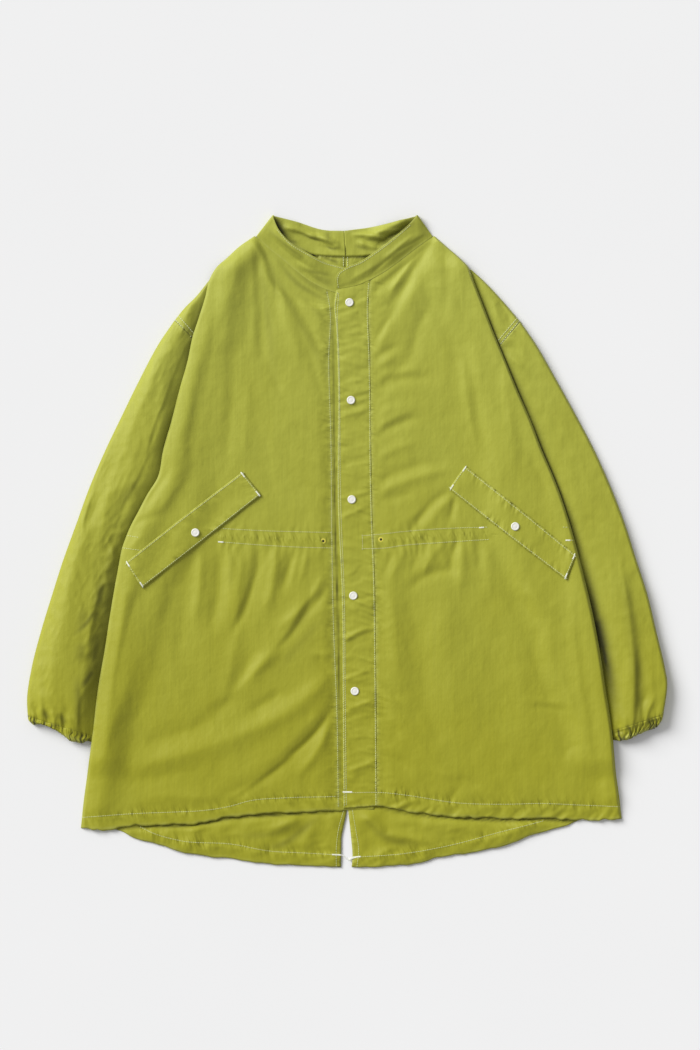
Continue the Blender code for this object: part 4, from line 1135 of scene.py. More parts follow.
class PARKA_OT_materials(Operator):
    """Makes the finishes of cloth, threads, snaps and eyelets"""

    bl_idname = "parka.materials"
    bl_label = "Make Materials"

    def execute(self, context):
        colours = context.scene.parka_colours
        cloth_material(tuple(colours.dim_lit_low_cloth), tuple(colours.sheen_lit_high_cloth))
        speckled_material("stitch_thread", tuple(colours.thread), 0.7, 0.0, 2200, 0.10, 0.00005)
        speckled_material("tack_thread", tuple(colours.tack), 0.65, 0.0, 2600, 0.08, 0.00005)
        speckled_material("snap_finish", tuple(colours.snap), 0.28, 0.0, 380, 0.03, 0.00002)
        speckled_material("eyelet_finish", tuple(colours.brass), 0.6, 0.0, 500, 0.12, 0.00003)
        # near black finish: painted shade for the eyelets' holes
        speckled_material("eyelet_hole", (0.006, 0.006, 0.005), 1.0, 0.0, 800, 0.2, 0.00002)
        return {"FINISHED"}


# ---------------------------------------------------------------- body panels


def front_plan(side):
    """Plan grid of a front, whose neck edge runs on a little under the collar."""
    outer, neck = SIDE_EDGE[side], FRONT_NECK[side]
    under_collar = [(x, y + min(2.0, 0.08 * abs(x - neck[0][0]))) for x, y in neck]
    inner = joined((under_collar, [under_collar[-1], *FRONT_CENTRE[side][1:]]), (NECK_SHARE,))
    shoulder, hem = edge((outer[0], neck[0])), edge(FRONT_HEM[side])
    return patch(edge(outer), inner, shoulder, hem, dense(0.35, 137), dense(0.15, 288))


def front_relief(side, cloth, x, y, from_side):
    """Height of a front over the back, from its folds, its side edge's roll and its crumple."""
    seed = FRONT_SEEDS[side]
    gain = 1.4 + 0.35 * ramp(20, -20, y) if side == RIGHT else 1.25 + 0.5 * ramp(-20, 40, y)
    raw = cloth.puff / MM + gain * cloth.depth * folds(FRONT_FOLDS[side], x, y)
    if side == RIGHT:  # lit side: a broad roll, then a trough
        raw = raw + laps(FRONT_LAPS_RIGHT, x, y)
        raw = raw + 3.4 * bell(from_side, 16, 23) - 1.0 * bell(from_side, 16, 56)
    else:  # shaded side: an almost level edge that turns down sharply
        raw = raw + (2.0 + 3.2 * ramp(60, -60, y)) * bell(from_side, 15, 6)
    raw = raw + 1.3 * cloth.crumple * crumple(x, y, seed)
    half = cloth.most_puff / MM / 2
    return half * (1 + np.tanh((raw - half) / half))


def front_hem(side, puff, x, y):
    """A front's height with its turned hem, twisted like a rope."""
    seed = FRONT_SEEDS[side]
    along_hem, from_hem = beside(FRONT_HEM[side], x, y)
    hem = ramp(34, 6, from_hem)
    puff = puff * (1 - 0.55 * hem) + 0.5 * ramp(17.5, 15.5, from_hem) * ramp(0, 3, from_hem)
    rope = rough(along_hem + 0.9 * from_hem, from_hem, 5.2, 14, seed + 60)
    rope = rope + 0.8 * rough(along_hem + 1.3 * from_hem, 0 * x, 12, 1, seed + 61)
    return puff + 1.25 * rope * ramp(24, 8, from_hem), from_hem


def front_points(side, cloth):
    """Outer face of a front: its base over the back, its relief, and its edges brought down."""
    plan = front_plan(side)
    x, y = plan[..., 0], plan[..., 1]
    from_side, from_inner = from_edges(plan)
    seed = FRONT_SEEDS[side]
    puff, from_hem = front_hem(side, front_relief(side, cloth, x, y, from_side), x, y)
    for number, (line, pitch, height, reach) in enumerate(PUCKERED_ROWS[side]):
        puff = puff + pucker(line, x, y, pitch, height, reach, seed + 20 + 3 * number)
    at_neck = ramp(330, 395, y[:, -1:])
    low = 0.25 if side == RIGHT else PLACKET_TOP_Z - 0.25 - cloth.wall / MM - LAYER
    inner_height = low + (1.1 - low) * at_neck
    if side == RIGHT:  # level under the placket
        from_inner = np.maximum(from_inner - 42 * (1 - at_neck), 0)
    puff = inner_height + (puff - inner_height) * ramp(0, 24 - 12 * ramp(295, 330, y), from_inner)
    if side == RIGHT:  # the groove beside the placket, pulled into short puckers
        groove = np.maximum(pucker(GROOVE, x, y, 11, 1.1, 7, seed + 90), -0.2) * (1 - at_neck)
        puff = puff + np.where(x < -12, groove, np.minimum(groove, 0.6))
    roll = np.clip(from_side / (20 if side == RIGHT else 4), 0, 1)
    puff = np.maximum(puff, 0.05) * np.sqrt(1 - (1 - roll) ** 2)
    z = lift(side, x, y) + LAYER + puff + cloth.wall / MM
    scallop = 1.5 * rough(x, 0 * x, 7, 1, seed + 8) + 1.5 * rough(x, 0 * x, 19, 1, seed + 9)
    plan[..., 1] = y + scallop * ramp(9, 0, from_hem) * ramp(0, 20, from_side)
    return np.dstack([plan, z])


def roll_under(points, side, turn):
    """Adds columns that carry the side edge round and under, so that front and back meet in a soft fold."""
    first = points[:, :1].copy()
    inset = points.copy()
    out = np.exp(-np.linalg.norm(points[..., :2] - points[:, :1, :2], axis=-1) / 4)
    inset[..., 0] -= side * turn * out
    strips = []
    for angle in np.radians((-75, -50, -25, 0, 25, 50, 75)):
        strip = first.copy()
        strip[..., 0] += side * turn * (math.cos(angle) - 1)
        strip[..., 2] += turn * (math.sin(angle) - 1)
        strips.append(strip)
    return np.concatenate([*strips, inset], axis=1)


class PARKA_OT_fronts(Operator):
    """Makes the two front panels with their folds, gathers and turned hems"""

    bl_idname = "parka.fronts"
    bl_label = "Make Fronts"

    def execute(self, context):
        cloth = context.scene.parka_cloth
        for side, name in NAMES.items():
            points = roll_under(front_points(side, cloth), side, EDGE_TURN)
            piece = sheet_object("front_cloth_" + name, points, cloth.wall / MM)
            wear_along(piece, (FRONT_HEM[side], FRONT_SEAM[side], SIDE_EDGE[side]), 2.6, 0.5)
            if side == RIGHT:
                # painted shade in the groove beside the placket and in the right front's creases
                paint_shade_along(piece, ((GROOVE, 1.5, 0.95), *FRONT_PAINTED_SHADE_RIGHT), uneven=0.7)
            across, down = (CHANNEL[side], HEM_ROW[side]), (FRONT_SEAM[side],)
            finish_cloth(piece, ["front_" + name], across, down)
        return {"FINISHED"}


def half_seam(side, line):
    """One half's side of a seam down the centre back."""
    return [(x + side * 0.15, y) for x, y in line]


def back_plan(side):
    """Plan grid of a back, whose inner edge follows the neck, the centre seam and the split."""
    outer, neck = SIDE_EDGE[side], BACK_NECK[side]
    lines = (neck, half_seam(side, CENTRE_BACK), half_seam(side, VENT[side]))
    inner = joined(lines, (NECK_SHARE, VENT_SHARE))
    shoulder, hem = edge((outer[0], neck[0])), edge(BACK_HEM[side])
    down = np.sort(np.append(dense(0.6, 160), VENT_SHARE))
    return patch(edge(outer), inner, shoulder, hem, dense(0.3, 78), down)


def back_points(side):
    """Outer face of a back, with relief in the neck and on the tail, where it shows."""
    plan = back_plan(side)
    x, y = plan[..., 0], plan[..., 1]
    from_side, from_inner = from_edges(plan)
    plan[..., 0] = x = x - side * 1.6 * np.exp(-from_side / 3) * ramp(-360, -340, y)
    from_hem = beside(BACK_HEM[side], x, y)[1]
    scallop = 1.1 * rough(x, 0 * x, 9, 1, 190 + side) + 1.1 * rough(x, 0 * x, 24, 1, 195 + side)
    scallop = scallop * ramp(9, 0, from_hem)
    plan[..., 1] = y = y + scallop * ramp(0, 20, from_side) * ramp(0, 14, from_inner)
    open_tail = ramp(2, 9, np.interp(x, *np.array(sorted(FRONT_HEM[side]), float).T) - y)
    in_neck = ramp(325, 345, y) * ramp(40, 20, np.abs(x))
    shown = np.maximum(open_tail, 0.5 * in_neck)
    shown = shown * (0.35 + 0.65 * ramp(0, 16, from_hem)) * ramp(0, 12, from_inner)
    relief = 2.8 * folds(TAIL_FOLDS, x, y) + 1.6 + 3.2 * crumple(x, y, 131 + side)
    z = lift(side, x, y) + 1.0 + np.maximum(relief, 0) * shown
    turned = ramp(17, 15.5, from_hem) + ramp(7.5, 6, np.abs(from_inner)) * ramp(-345, -352, y)
    z = z + 0.5 * np.clip(turned, 0, 1) * open_tail
    along_hem = beside(BACK_HEM[side], x, y)[0]
    rope = rough(along_hem + 1.1 * from_hem, from_hem, 7, 14, 160 + side) * 1.1 + 0.6
    rope = rope + 0.8 * rough(along_hem - 0.9 * from_hem, 0 * x, 15, 1, 170 + side)
    z = z + np.maximum(rope, 0) * ramp(22, 12, from_hem) * ramp(0, 3, from_hem) * open_tail
    fine = 0.4 - 1.6 * np.abs(rough(x + 0.6 * y, y - 0.2 * x, 22, 10, 180 + side))
    z = z + np.maximum(fine + 0.6, 0) * 0.8 * shown
    z = z + np.maximum(pucker(TAIL_ROW[side], x, y, 10, 0.35, 9, 140 + side) + 0.2, 0) * open_tail
    return np.dstack([plan, z])


class PARKA_OT_backs(Operator):
    """Makes the two back panels, which end in the halves of the split tail"""

    bl_idname = "parka.backs"
    bl_label = "Make Backs"

    def execute(self, context):
        for side, name in NAMES.items():
            piece = sheet_object("back_cloth_" + name, back_points(side), BACK_WALL)
            wear_along(piece, (BACK_HEM[side], VENT[side]), 2.4, 0.45)
            # a painted shadow just under the front's hem, then the painted shade of the backs' table
            hem_shadow_line = [(x, y - 1.4) for x, y in FRONT_HEM[side]]
            paint_shade_along(piece, ((hem_shadow_line, 2.0, 0.7), *BACK_PAINTED_SHADE[side]))
            down = (half_seam(side, VENT[side]), BACK_NECK[side])
            finish_cloth(piece, ["back_" + name], (TAIL_ROW[side],), down)
        return {"FINISHED"}


def placket_points():
    """Outer face of the placket, with small wrinkles across it, most of them near the snaps."""
    left, right = ([(line[0][0], line[0][1] + 1.8), *line[1:]] for line in (PLACKET_EDGE, PLACKET_SEAM))
    top = edge([(x, y + 1.8) for x, y in PLACKET_TOP[::-1]])
    across, down = dense(0.3, 34), np.linspace(0, 1, 380)
    plan = patch(edge(left), edge(right), top, edge(PLACKET_BOTTOM), across, down)
    x, y = plan[..., 0], plan[..., 1]
    from_edge, from_seam = from_edges(plan)
    wrinkles = rough(x, y + 0.25 * x, 60, 9, 201) + 0.6 * rough(x, y - 0.3 * x, 40, 5.5, 202)
    near_snaps = sum(bell(y, 26, snap_y) for _, snap_y in SNAPS)
    sharp = 0.7 - 2.2 * np.abs(rough(x, y + 0.35 * x, 44, 8, 203))
    relief = (0.6 + 0.4 * near_snaps) * wrinkles + 0.6 * sharp + 2.2 * folds(PLACKET_FOLDS, x, y)
    relief = relief + pucker(PLACKET_EDGE_ROW, x, y, 9, 0.30, 8, 210)
    relief = relief + pucker(PLACKET_SEAM_ROW, x, y, 10, 0.30, 8, 220)
    z = PLACKET_TOP_Z + relief * ramp(0, 3, from_seam) + 0.25 * crumple(x, y, 230)
    z = z - 0.7 * np.exp(-from_edge / 0.8)
    z = np.maximum(z, 4.0 + 0.2 * ramp(0, 4, np.minimum(from_edge, from_seam)))
    return np.dstack([plan, z])


class PARKA_OT_placket(Operator):
    """Makes the doubled strip down the centre front, crossed by small wrinkles"""

    bl_idname = "parka.placket"
    bl_label = "Make Placket"

    def execute(self, context):
        piece = sheet_object("placket_cloth", placket_points(), PLACKET_WALL)
        wear_along(piece, (PLACKET_EDGE, PLACKET_SEAM, PLACKET_BOTTOM), 2.2, 0.5)
        down = (PLACKET_EDGE, PLACKET_SEAM)
        finish_cloth(piece, ["placket"], (PLACKET_BOTTOM,), down)
        return {"FINISHED"}


# ---------------------------------------------------------------- sleeves


def tube_points(stations, rows, swell, columns_on_top):
    """Outer face of a flattened tube with round edges. Its underside is level, and swell raises its top."""
    places = edge(stations)(rows)
    outer, inner = places[:, None, :2], places[:, None, 2:]
    width = np.linalg.norm(inner - outer, axis=-1, keepdims=True)
    across = (inner - outer) / width
    turn = TUBE_TURN

    def between(share):
        return outer + (turn + share * (width - 2 * turn)) * across

    over = [(0, 0), (0.27, 1.0), (1.0, 1.73)]  # distance in from the edge, and height over its middle
    under = [(distance, -height) for distance, height in over[1:]]
    tops = dense(0.4, columns_on_top)[1:-1]
    columns = [(outer + distance * across, turn + height) for distance, height in over]
    columns += [(between(share), 2 * turn) for share in tops]
    columns += [(inner - distance * across, turn + height) for distance, height in over[::-1] + under]
    columns += [(between(share), 0.0) for share in np.linspace(1, 0, 9)]
    columns += [(outer + distance * across, turn + height) for distance, height in under[::-1]]
    plan = np.concatenate([place for place, _ in columns], axis=1)
    z = np.tile(np.array([height for _, height in columns]), (len(rows), 1))
    top = slice(len(over), len(over) + len(tops))
    from_outer = np.linalg.norm(plan[:, top] - outer, axis=-1)
    from_inner = np.linalg.norm(plan[:, top] - inner, axis=-1)
    z[:, top] = z[:, top] + swell(plan[:, top, 0], plan[:, top, 1], from_outer, from_inner)
    points = np.dstack([plan, z])
    return np.concatenate([points, points[:, :1]], axis=1)


def gathers(distance, seed):
    """Round lumps of gathered cloth along a cuff with sharp creases between them, about -1 to 1."""
    zero = 0 * distance
    first = distance / 7.3 + 0.9 * rough(distance, zero, 13, 1, seed)
    second = distance / 4.4 + 0.7 * rough(distance, zero, 9, 1, seed + 1)
    first, second = np.abs(np.sin(np.pi * first)) ** 0.55, np.abs(np.sin(np.pi * second)) ** 0.7
    size = 0.75 + 0.45 * rough(distance, zero, 11, 1, seed + 2)
    return size * (1.3 * first + 0.5 * second) - 1.05


def cuff_lumps(distance, down, seed):
    """Gathers of a cuff, which wander a little sideways on their way down."""
    return gathers(distance + 2.4 * rough(distance, down, 11, 7, seed + 9), seed)


def sleeve_height(side, y, from_outer, from_body):
    """Smooth height of a sleeve over its flattened edge, before its folds."""
    table = np.array(SLEEVE_CREST[side], float)
    crest, place = (smooth(table[:, 0], table[:, i], y) for i in (1, 2))
    across = np.maximum(from_outer + np.maximum(from_body, 0), 1)
    part = np.clip(from_outer / across, 0, 1)
    if side == RIGHT:
        rise = np.sin(np.pi / 2 * np.clip(part / place, 0, 1))
        fall = 1 - (0.28 + 0.24 * ramp(20, -40, y)) * np.clip((part - place) / (1 - place), 0, 1) ** 1.3
        return 1.2 * ramp(0, 5, from_outer) + crest * rise * fall
    rim = (1.8 + 0.6 * crest) * np.sqrt(1 - (1 - np.clip(from_outer / 4, 0, 1)) ** 2)
    return rim + 0.6 * crest * np.cos(np.pi / 2 * np.clip(part, 0, 1))


def sleeve_facets(side, x, y, from_body, seed):
    """Sharp-edged small facets, strong on the right sleeve near the body and faint on the left."""
    facets = 1 - 2.4 * np.abs(rough(x + 0.5 * y, y - 0.3 * x, 13, 20, seed + 11))
    facets = facets + 0.6 * (1 - 2.4 * np.abs(rough(x - 0.4 * y, y, 8, 13, seed + 12)))
    if side == LEFT:
        return 0.10 * facets
    crushed = 0.8 * ramp(34, 4, from_body) * ramp(60, 0, y) * ramp(-215, -190, y)
    return 1.5 * facets * (0.2 + crushed)


def sleeve_swell(side, seed, cuff_gather):
    """Height that a sleeve's top adds to its flattened edge: low beside and under the body."""
    table = SLEEVE_FOLDS[side] + SHOULDER_FOLDS

    def swell(x, y, from_outer, from_inner):
        """The height at plan points, from their distances to the sleeve's two edges."""
        from_body = side * (x - side_x(side, y))
        to_cuff = np.minimum(-y - 228 - 0.32 * (414 - np.abs(x)), 0)
        raw = sleeve_height(side, y, from_outer, from_body)
        raw = raw + 0.9 * folds(table, x, y) + laps(SLEEVE_LAPS[side], x, y) + 1.3 * crumple(x, y, seed)
        raw = raw + sleeve_facets(side, x, y, from_body, seed)
        soft = 1.6 * rough(from_outer, 0 * from_outer, 9, 1, seed + 7) * np.exp(to_cuff / 16)
        raw = raw + cuff_gather * (1.5 * gathers(from_outer, seed) * np.exp(to_cuff / 4) + soft)
        raw = raw - cuff_gather * 1.6 * np.exp(to_cuff / 3.5)
        raw = np.where(raw > 11, 11 + 3.6 * np.tanh((raw - 11) / 3.6), raw)
        width = np.interp(y, *np.array(SLEEVE_FALL[side], float).T)
        near_body = np.sin(np.pi / 2 * np.clip((from_body + 1) / width, 0, 1))
        to_edge = np.clip(np.minimum(from_outer, from_inner) / 6, 0, 1)
        hidden = (SLEEVE_HIDDEN - 2 * TUBE_TURN) * np.sqrt(to_edge)
        return hidden + near_body * np.maximum(raw, 0.2) * ramp(0, 0.8, from_outer)

    return swell


def cuff_swell(side, rows, sleeve, seed):
    """Height of a cuff's gathers, which begin at the sleeve's own height."""

    def swell(x, y, from_outer, from_inner):
        """The height at plan points, from their distances to the cuff's two edges."""
        t = rows[:, None]
        down = 20 * t + 0 * from_outer
        lumps = cuff_lumps(from_outer, down, seed)
        if side == RIGHT:
            lumps = lumps * (1 - 0.8 * ramp(44, 56, from_outer))
        stand = (5.0 if side == RIGHT else 7.0) + 1.8 * np.sin(np.pi * t) - 2.6 * ramp(0.8, 1.0, t)
        own = stand + (2.0 + 1.0 * t) * lumps + 0.9 * rough(from_outer, down, 6, 5, seed + 3)
        from_body = side * (x - side_x(side, y))
        near_body = np.sin(np.pi / 2 * np.clip((from_body + 1) / 10, 0, 1))
        own = 0.5 + near_body * np.maximum(own, 0.3) * ramp(0, 0.8, from_outer)
        joint = sleeve(x, y, from_outer, from_inner) - 0.3 + 0.7 * ramp(0, 0.17, t)
        own_share = ramp(0.22, 0.7, t)
        return joint * (1 - own_share) + own * own_share

    return swell


def cuff_points(side, sleeve, seed):
    """A short gathered casing, begun on the sleeve's end, whose edge waves in height and in plan."""
    rows = np.linspace(0, 1, 34)
    stations = np.array(CUFF[side], float)
    down = stations[-1] - stations[0]
    down = (down[:2] + down[2:]) / np.linalg.norm(down[:2] + down[2:])
    stations = np.vstack([stations[0] - CUFF_OVERLAP * np.concatenate([down, down]), stations])
    points = tube_points(stations, rows, cuff_swell(side, rows, sleeve, seed), 190)
    line = edge(stations)(rows)[:, None, :2]
    from_outer = np.linalg.norm(points[..., :2] - line, axis=-1)
    rise = np.array(CUFF_RISE[side], float)
    move = -np.interp(from_outer, rise[:, 0], rise[:, 1]) * ramp(0.15, 1, rows)[:, None]
    waves = 1.0 * gathers(from_outer + 1.5, seed) + 0.6 * rough(from_outer, 0 * from_outer, 6, 1, seed + 5)
    points[..., :2] += ((move + waves * ramp(0.3, 1, rows)[:, None])[..., None]) * down
    return points


class PARKA_OT_sleeves(Operator):
    """Makes the flattened sleeves, the dropped shoulders and the gathered cuffs"""

    bl_idname = "parka.sleeves"
    bl_label = "Make Sleeves"

    def execute(self, context):
        wall = context.scene.parka_cloth.wall / MM
        for side, name in NAMES.items():
            # painted shade: a painted shadow along the body's edge, and painted shade in the slots between
            # the cuff's gathers
            seed, painted_shade = SLEEVE_SEEDS[side], BODY_EDGE_PAINTED_SHADE[side]
            upper, lower = sleeve_swell(side, seed, 0.0), sleeve_swell(side, seed, 1.0)
            slots = (CUFF[side][0], seed)
            armhole = (SHOULDER[side][-1][:2], SHOULDER[side][-1][2:])
            cuff_edge = (CUFF[side][-1][:2], CUFF[side][-1][2:])
            points = tube_points(SHOULDER[side], np.linspace(0, 1, 40), upper, 70)
            piece = sheet_object("shoulder_cloth_" + name, points, wall, around=True)
            wear_along(piece, (armhole,), 5, 0.4)
            paint_shade_along(piece, painted_shade)
            finish_cloth(piece, ["shoulder_" + name], (armhole,), ())
            points = tube_points(SLEEVE[side], np.linspace(0, 1, 226), lower, 110)
            piece = sheet_object("sleeve_cloth_" + name, points, wall, around=True)
            wear_along(piece, (armhole,), 2.5, 0.4)
            paint_shade_along(piece, painted_shade, slots=slots)
            finish_cloth(piece, ["sleeve_" + name], (armhole,), ())
            points = cuff_points(side, lower, seed)
            piece = sheet_object("cuff_cloth_" + name, points, wall, around=True)
            wear_along(piece, (cuff_edge,), 2.5, 0.5)
            paint_shade_along(piece, painted_shade, slots=slots)
            finish_cloth(piece, ["cuff_" + name], (), ())
        return {"FINISHED"}


# ---------------------------------------------------------------- collar and flaps


def collar_columns(side):
    """The collar's columns by the plan points of their two ends, with their stretch and place in it."""
    seam_rise = np.array([0, 0.6])
    neck, back_edge = BACK_NECK[side], COLLAR_BACK_EDGE[side]
    columns = []
    for t in np.linspace(0, 0.985, 70):
        low = edge(neck)(1 - t) + seam_rise * (1 - 2.5 * ramp(0.45, 0.3, t))
        columns.append((low, edge(back_edge)(t), "back", 0))
    low, high = np.array(neck[0]) + seam_rise, np.array(back_edge[-1])
    columns += [(low, high, "turn", angle) for angle in np.linspace(8, 172, 15)]
    parts = [edge(part)(np.linspace(0, 1, 60)[1:]) for part in COLLAR_SEAM[side]]
    front = np.concatenate(parts) + seam_rise
    along = np.linalg.norm(np.diff(np.vstack([low, front]), axis=0), axis=1).cumsum()
    for low, t in zip(front, along / along[-1]):
        columns.append((low, edge(COLLAR_FRONT_EDGE[side])(t), "front", t))
    return columns


def front_seam_heights(columns, trees):
    """Heights of the collar's front seam: the highest cloth near each column, then evened out."""
    heights = np.array([drop(trees, *low) for low, _, stretch, _ in columns if stretch == "front"])
    padded = np.pad(heights, 3, mode="edge")
    highest = np.max([padded[i : i + len(heights)] for i in range(7)], axis=0)
    return np.convolve(np.pad(highest, 3, mode="edge"), np.ones(7) / 7, mode="valid") + 0.12


def front_band(side, seam_height, rise, rows, at, x, y):
    """Heights of the collar's front band in one column, from its seam to its top edge."""
    centre = 2.4 if side == RIGHT else PLACKET_TOP_Z + 0.2
    full = COLLAR_FACE_Z + (centre - COLLAR_FACE_Z) * ramp(0.55, 0.95, at)
    top = full + 1.2 + (COLLAR_STAND - 1.2) * (1 - at) ** 0.6
    band = seam_height + (top - seam_height) * rise
    relief = 2.2 * folds(COLLAR_FOLDS, x, y) + 1.6 * crumple(x, y, 400 + side) + 0.4
    band = band + relief * ramp(0, 0.3, rows) * ramp(0, 0.08, at)
    if side == LEFT:
        return np.maximum(band, seam_height)
    # the right half's end lies low, under the left half
    band = np.where(x > -20, np.minimum(band, 2.9), band)
    band = np.where(band > 2.9, band + (2.9 - band) * ramp(-52, -20, x), band)
    return np.maximum(band, 0)


def collar_points(side, trees):
    """One half of the collar: inside of the back, the turn at the neck's side, the raised front band."""
    rows = dense(0.3, 30)
    rise = ramp(0, 1.15, rows + 0.15 * rows * (1 - rows)) / 0.95
    columns = collar_columns(side)
    seam_heights = front_seam_heights(columns, trees)
    half = (seam_heights[0] + (COLLAR_FACE_Z + COLLAR_STAND - seam_heights[0]) * rise) / 2
    seam_heights = iter(seam_heights)
    points = np.zeros((len(rows), len(columns), 3))
    for column, (low, high, stretch, at) in enumerate(columns):
        points[:, column, :2] = (1 - rows)[:, None] * low + rows[:, None] * high
        x, y = points[:, column, 0], points[:, column, 1]
        if stretch == "front":
            z = front_band(side, next(seam_heights), rise, rows, at, x, y)
        elif stretch == "back":
            relief = 1.0 + 3.2 * folds(NECK_FOLDS, x, y) + 2.8 * crumple(x, y, 410 + side)
            relief = np.maximum(relief + 1.4 * (1 - rows) ** 2, 0.1)
            z = relief * ramp(0, 0.06, rows) * ramp(side * 108, side * 84, x)
        else:
            turn = math.radians(at)
            points[:, column, 0] += side * np.minimum(half, 2.2) * (math.sin(turn) - 1)
            z = half * (1 - math.cos(turn))
        points[:, column, 2] = z
    return points


class PARKA_OT_collar(Operator):
    """Makes the two halves of the stand collar, each one band round the neck's side"""

    bl_idname = "parka.collar"
    bl_label = "Make Collar"

    def execute(self, context):
        for side, name in NAMES.items():
            trees = [surface(bpy.data.objects[piece]) for piece in UNDER_COLLAR[side]]
            piece = sheet_object("collar_cloth_" + name, collar_points(side, trees), COLLAR_WALL)
            wear_along(piece, (COLLAR_BACK_EDGE[side], COLLAR_FRONT_EDGE[side], FRONT_NECK[side]), 2.2, 0.5)
            # painted shade inside the collar's back and on its front band
            paint_shade_along(piece, COLLAR_PAINTED_SHADE)
            finish_cloth(piece, ["collar_" + name], (), ())
        return {"FINISHED"}


def flap_ends(sides):
    """The two short edges of a flap, the one nearer the centre first."""
    return tuple((sides["upper"][end], sides["lower"][end]) for end in (0, -1))


def flap_points(side):
    """Outer face of a flap, which follows the front under it and stays clear of it."""
    sides, seed = FLAPS[side], FLAP_SEEDS[side]
    near, far = flap_ends(sides)
    upper, lower = edge(sides["upper"]), edge(sides["lower"])
    plan = patch(upper, lower, edge(near), edge(far), np.linspace(0, 1, 26), np.linspace(0, 1, 120))
    tree = [surface(bpy.data.objects["front_cloth_" + NAMES[side]])]
    bed = np.array([[drop_smooth(tree, x, y, 7) for x, y in row] for row in plan])
    lowest = np.array([[drop(tree, x, y) for x, y in row] for row in plan])
    x, y = plan[..., 0], plan[..., 1]
    place, away = beside(sides["lower"], x, y)
    height = bed + 1.7 + 0.5 * crumple(x, y, seed) + 1.1 * bell(away, 11)
    height = height + 0.35 * np.sin(place / 9.0 + 2 * rough(place, away, 30, 30, seed + 3))
    to_upper = beside(sides["upper"], x, y)[1]
    border = np.minimum(np.minimum(away, to_upper), np.minimum(*from_ends(plan)))
    height = height - 0.5 * np.exp(-border / 0.9)
    return np.dstack([plan, np.maximum(height, lowest + 1.15)])


class PARKA_OT_flaps(Operator):
    """Makes the slanted pocket flaps, which follow the fronts under them"""

    bl_idname = "parka.flaps"
    bl_label = "Make Pocket Flaps"

    def execute(self, context):
        for side, name in NAMES.items():
            long_sides, ends = tuple(FLAPS[side].values()), flap_ends(FLAPS[side])
            piece = sheet_object("flap_cloth_" + name, flap_points(side), FLAP_WALL)
            wear_along(piece, (*long_sides, *ends), 2.0, 0.5)
            finish_cloth(piece, ["pocket_flap_" + name], long_sides, ends)
        return {"FINISHED"}


# ---------------------------------------------------------------- snaps, eyelets and cord


def turned_object(name, profile, place, steps):
    """A shape turned round a vertical axis through place, from a profile of radius and height."""
    angles = np.linspace(0, 2 * np.pi, steps + 1)[:-1]
    rings = [[(r * math.cos(a), r * math.sin(a), z) for a in angles] for r, z in profile]
    points = np.array(rings).reshape(-1, 3) + np.array(place)
    faces = []
    for ring in range(len(profile) - 1):
        for step in range(steps):
            after = (step + 1) % steps
            low, high = ring * steps, (ring + 1) * steps
            faces.append((low + step, high + step, high + after, low + after))
    return mesh_object(name, points, faces)


def cap_profile(radius, height):
    """A pressed snap cap, from the rim's foot over a rolled rim to a shallow dish with a raised centre."""
    rim = [(radius - 0.2, 0.0), (radius, 0.3), (radius, height * 0.55), (radius - 0.25, height * 0.84)]
    roll = [(radius - 0.8, height), (radius - 1.4, height * 0.97), (radius - 1.9, height * 0.86)]
    centre = ((0.45, 0.84), (0.36, 0.90), (0.24, 0.93))
    return [*rim, *roll, *((radius * r, height * z) for r, z in centre), (0.05, height * 0.93)]


def ring_profile(outer, hole, height):
    """A rolled eyelet, round the whole section from its outer foot over the top into the hole."""
    middle = (outer + hole) / 2
    half = (outer - hole) / 2
    return [(middle + half * math.cos(a), height * math.sin(a)) for a in np.linspace(0, math.pi, 9)]


def finish_small(piece, node, finish):
    """Gives a snap, an eyelet or its hole its finish, and its place in the frame."""
    piece.data.materials.append(bpy.data.materials[finish])
    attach(piece, "root")
    if node:
        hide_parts(node)


class PARKA_OT_hardware(Operator):
    """Makes the snap caps and the brass eyelets on the cloth that carries them"""

    bl_idname = "parka.hardware"
    bl_label = "Make Snaps and Eyelets"

    def execute(self, context):
        fronts = {side: surface(bpy.data.objects["front_cloth_" + name]) for side, name in NAMES.items()}
        flaps = {side: surface(bpy.data.objects["flap_cloth_" + name]) for side, name in NAMES.items()}
        placket = surface(bpy.data.objects["placket_cloth"])
        caps = [("snap_%d" % number, at, placket) for number, at in enumerate(SNAPS, 1)]
        caps += [("flap_snap_" + name, FLAP_SNAPS[side], flaps[side]) for side, name in NAMES.items()]
        for node, (x, y), tree in caps:
            z = drop_smooth([tree], x, y, 4.5) - 0.15
            piece = turned_object(node + "_cap", cap_profile(*CAP_SIZE), (x, y, z), 48)
            finish_small(piece, node, "snap_finish")
        for side, name in NAMES.items():
            x, y = EYELETS[side]
            place = (x, y, drop_smooth([fronts[side]], x, y, 3) - 0.1)
            piece = turned_object("eyelet_ring_" + name, ring_profile(*EYELET_SIZE), place, 40)
            finish_small(piece, "eyelet_" + name, "eyelet_finish")
            # a near black disc of painted shade fills the eyelet's hole
            hole = turned_object("eyelet_hole_" + name, EYELET_SHADE_DISC, place, 24)
            finish_small(hole, None, "eyelet_hole")
        return {"FINISHED"}


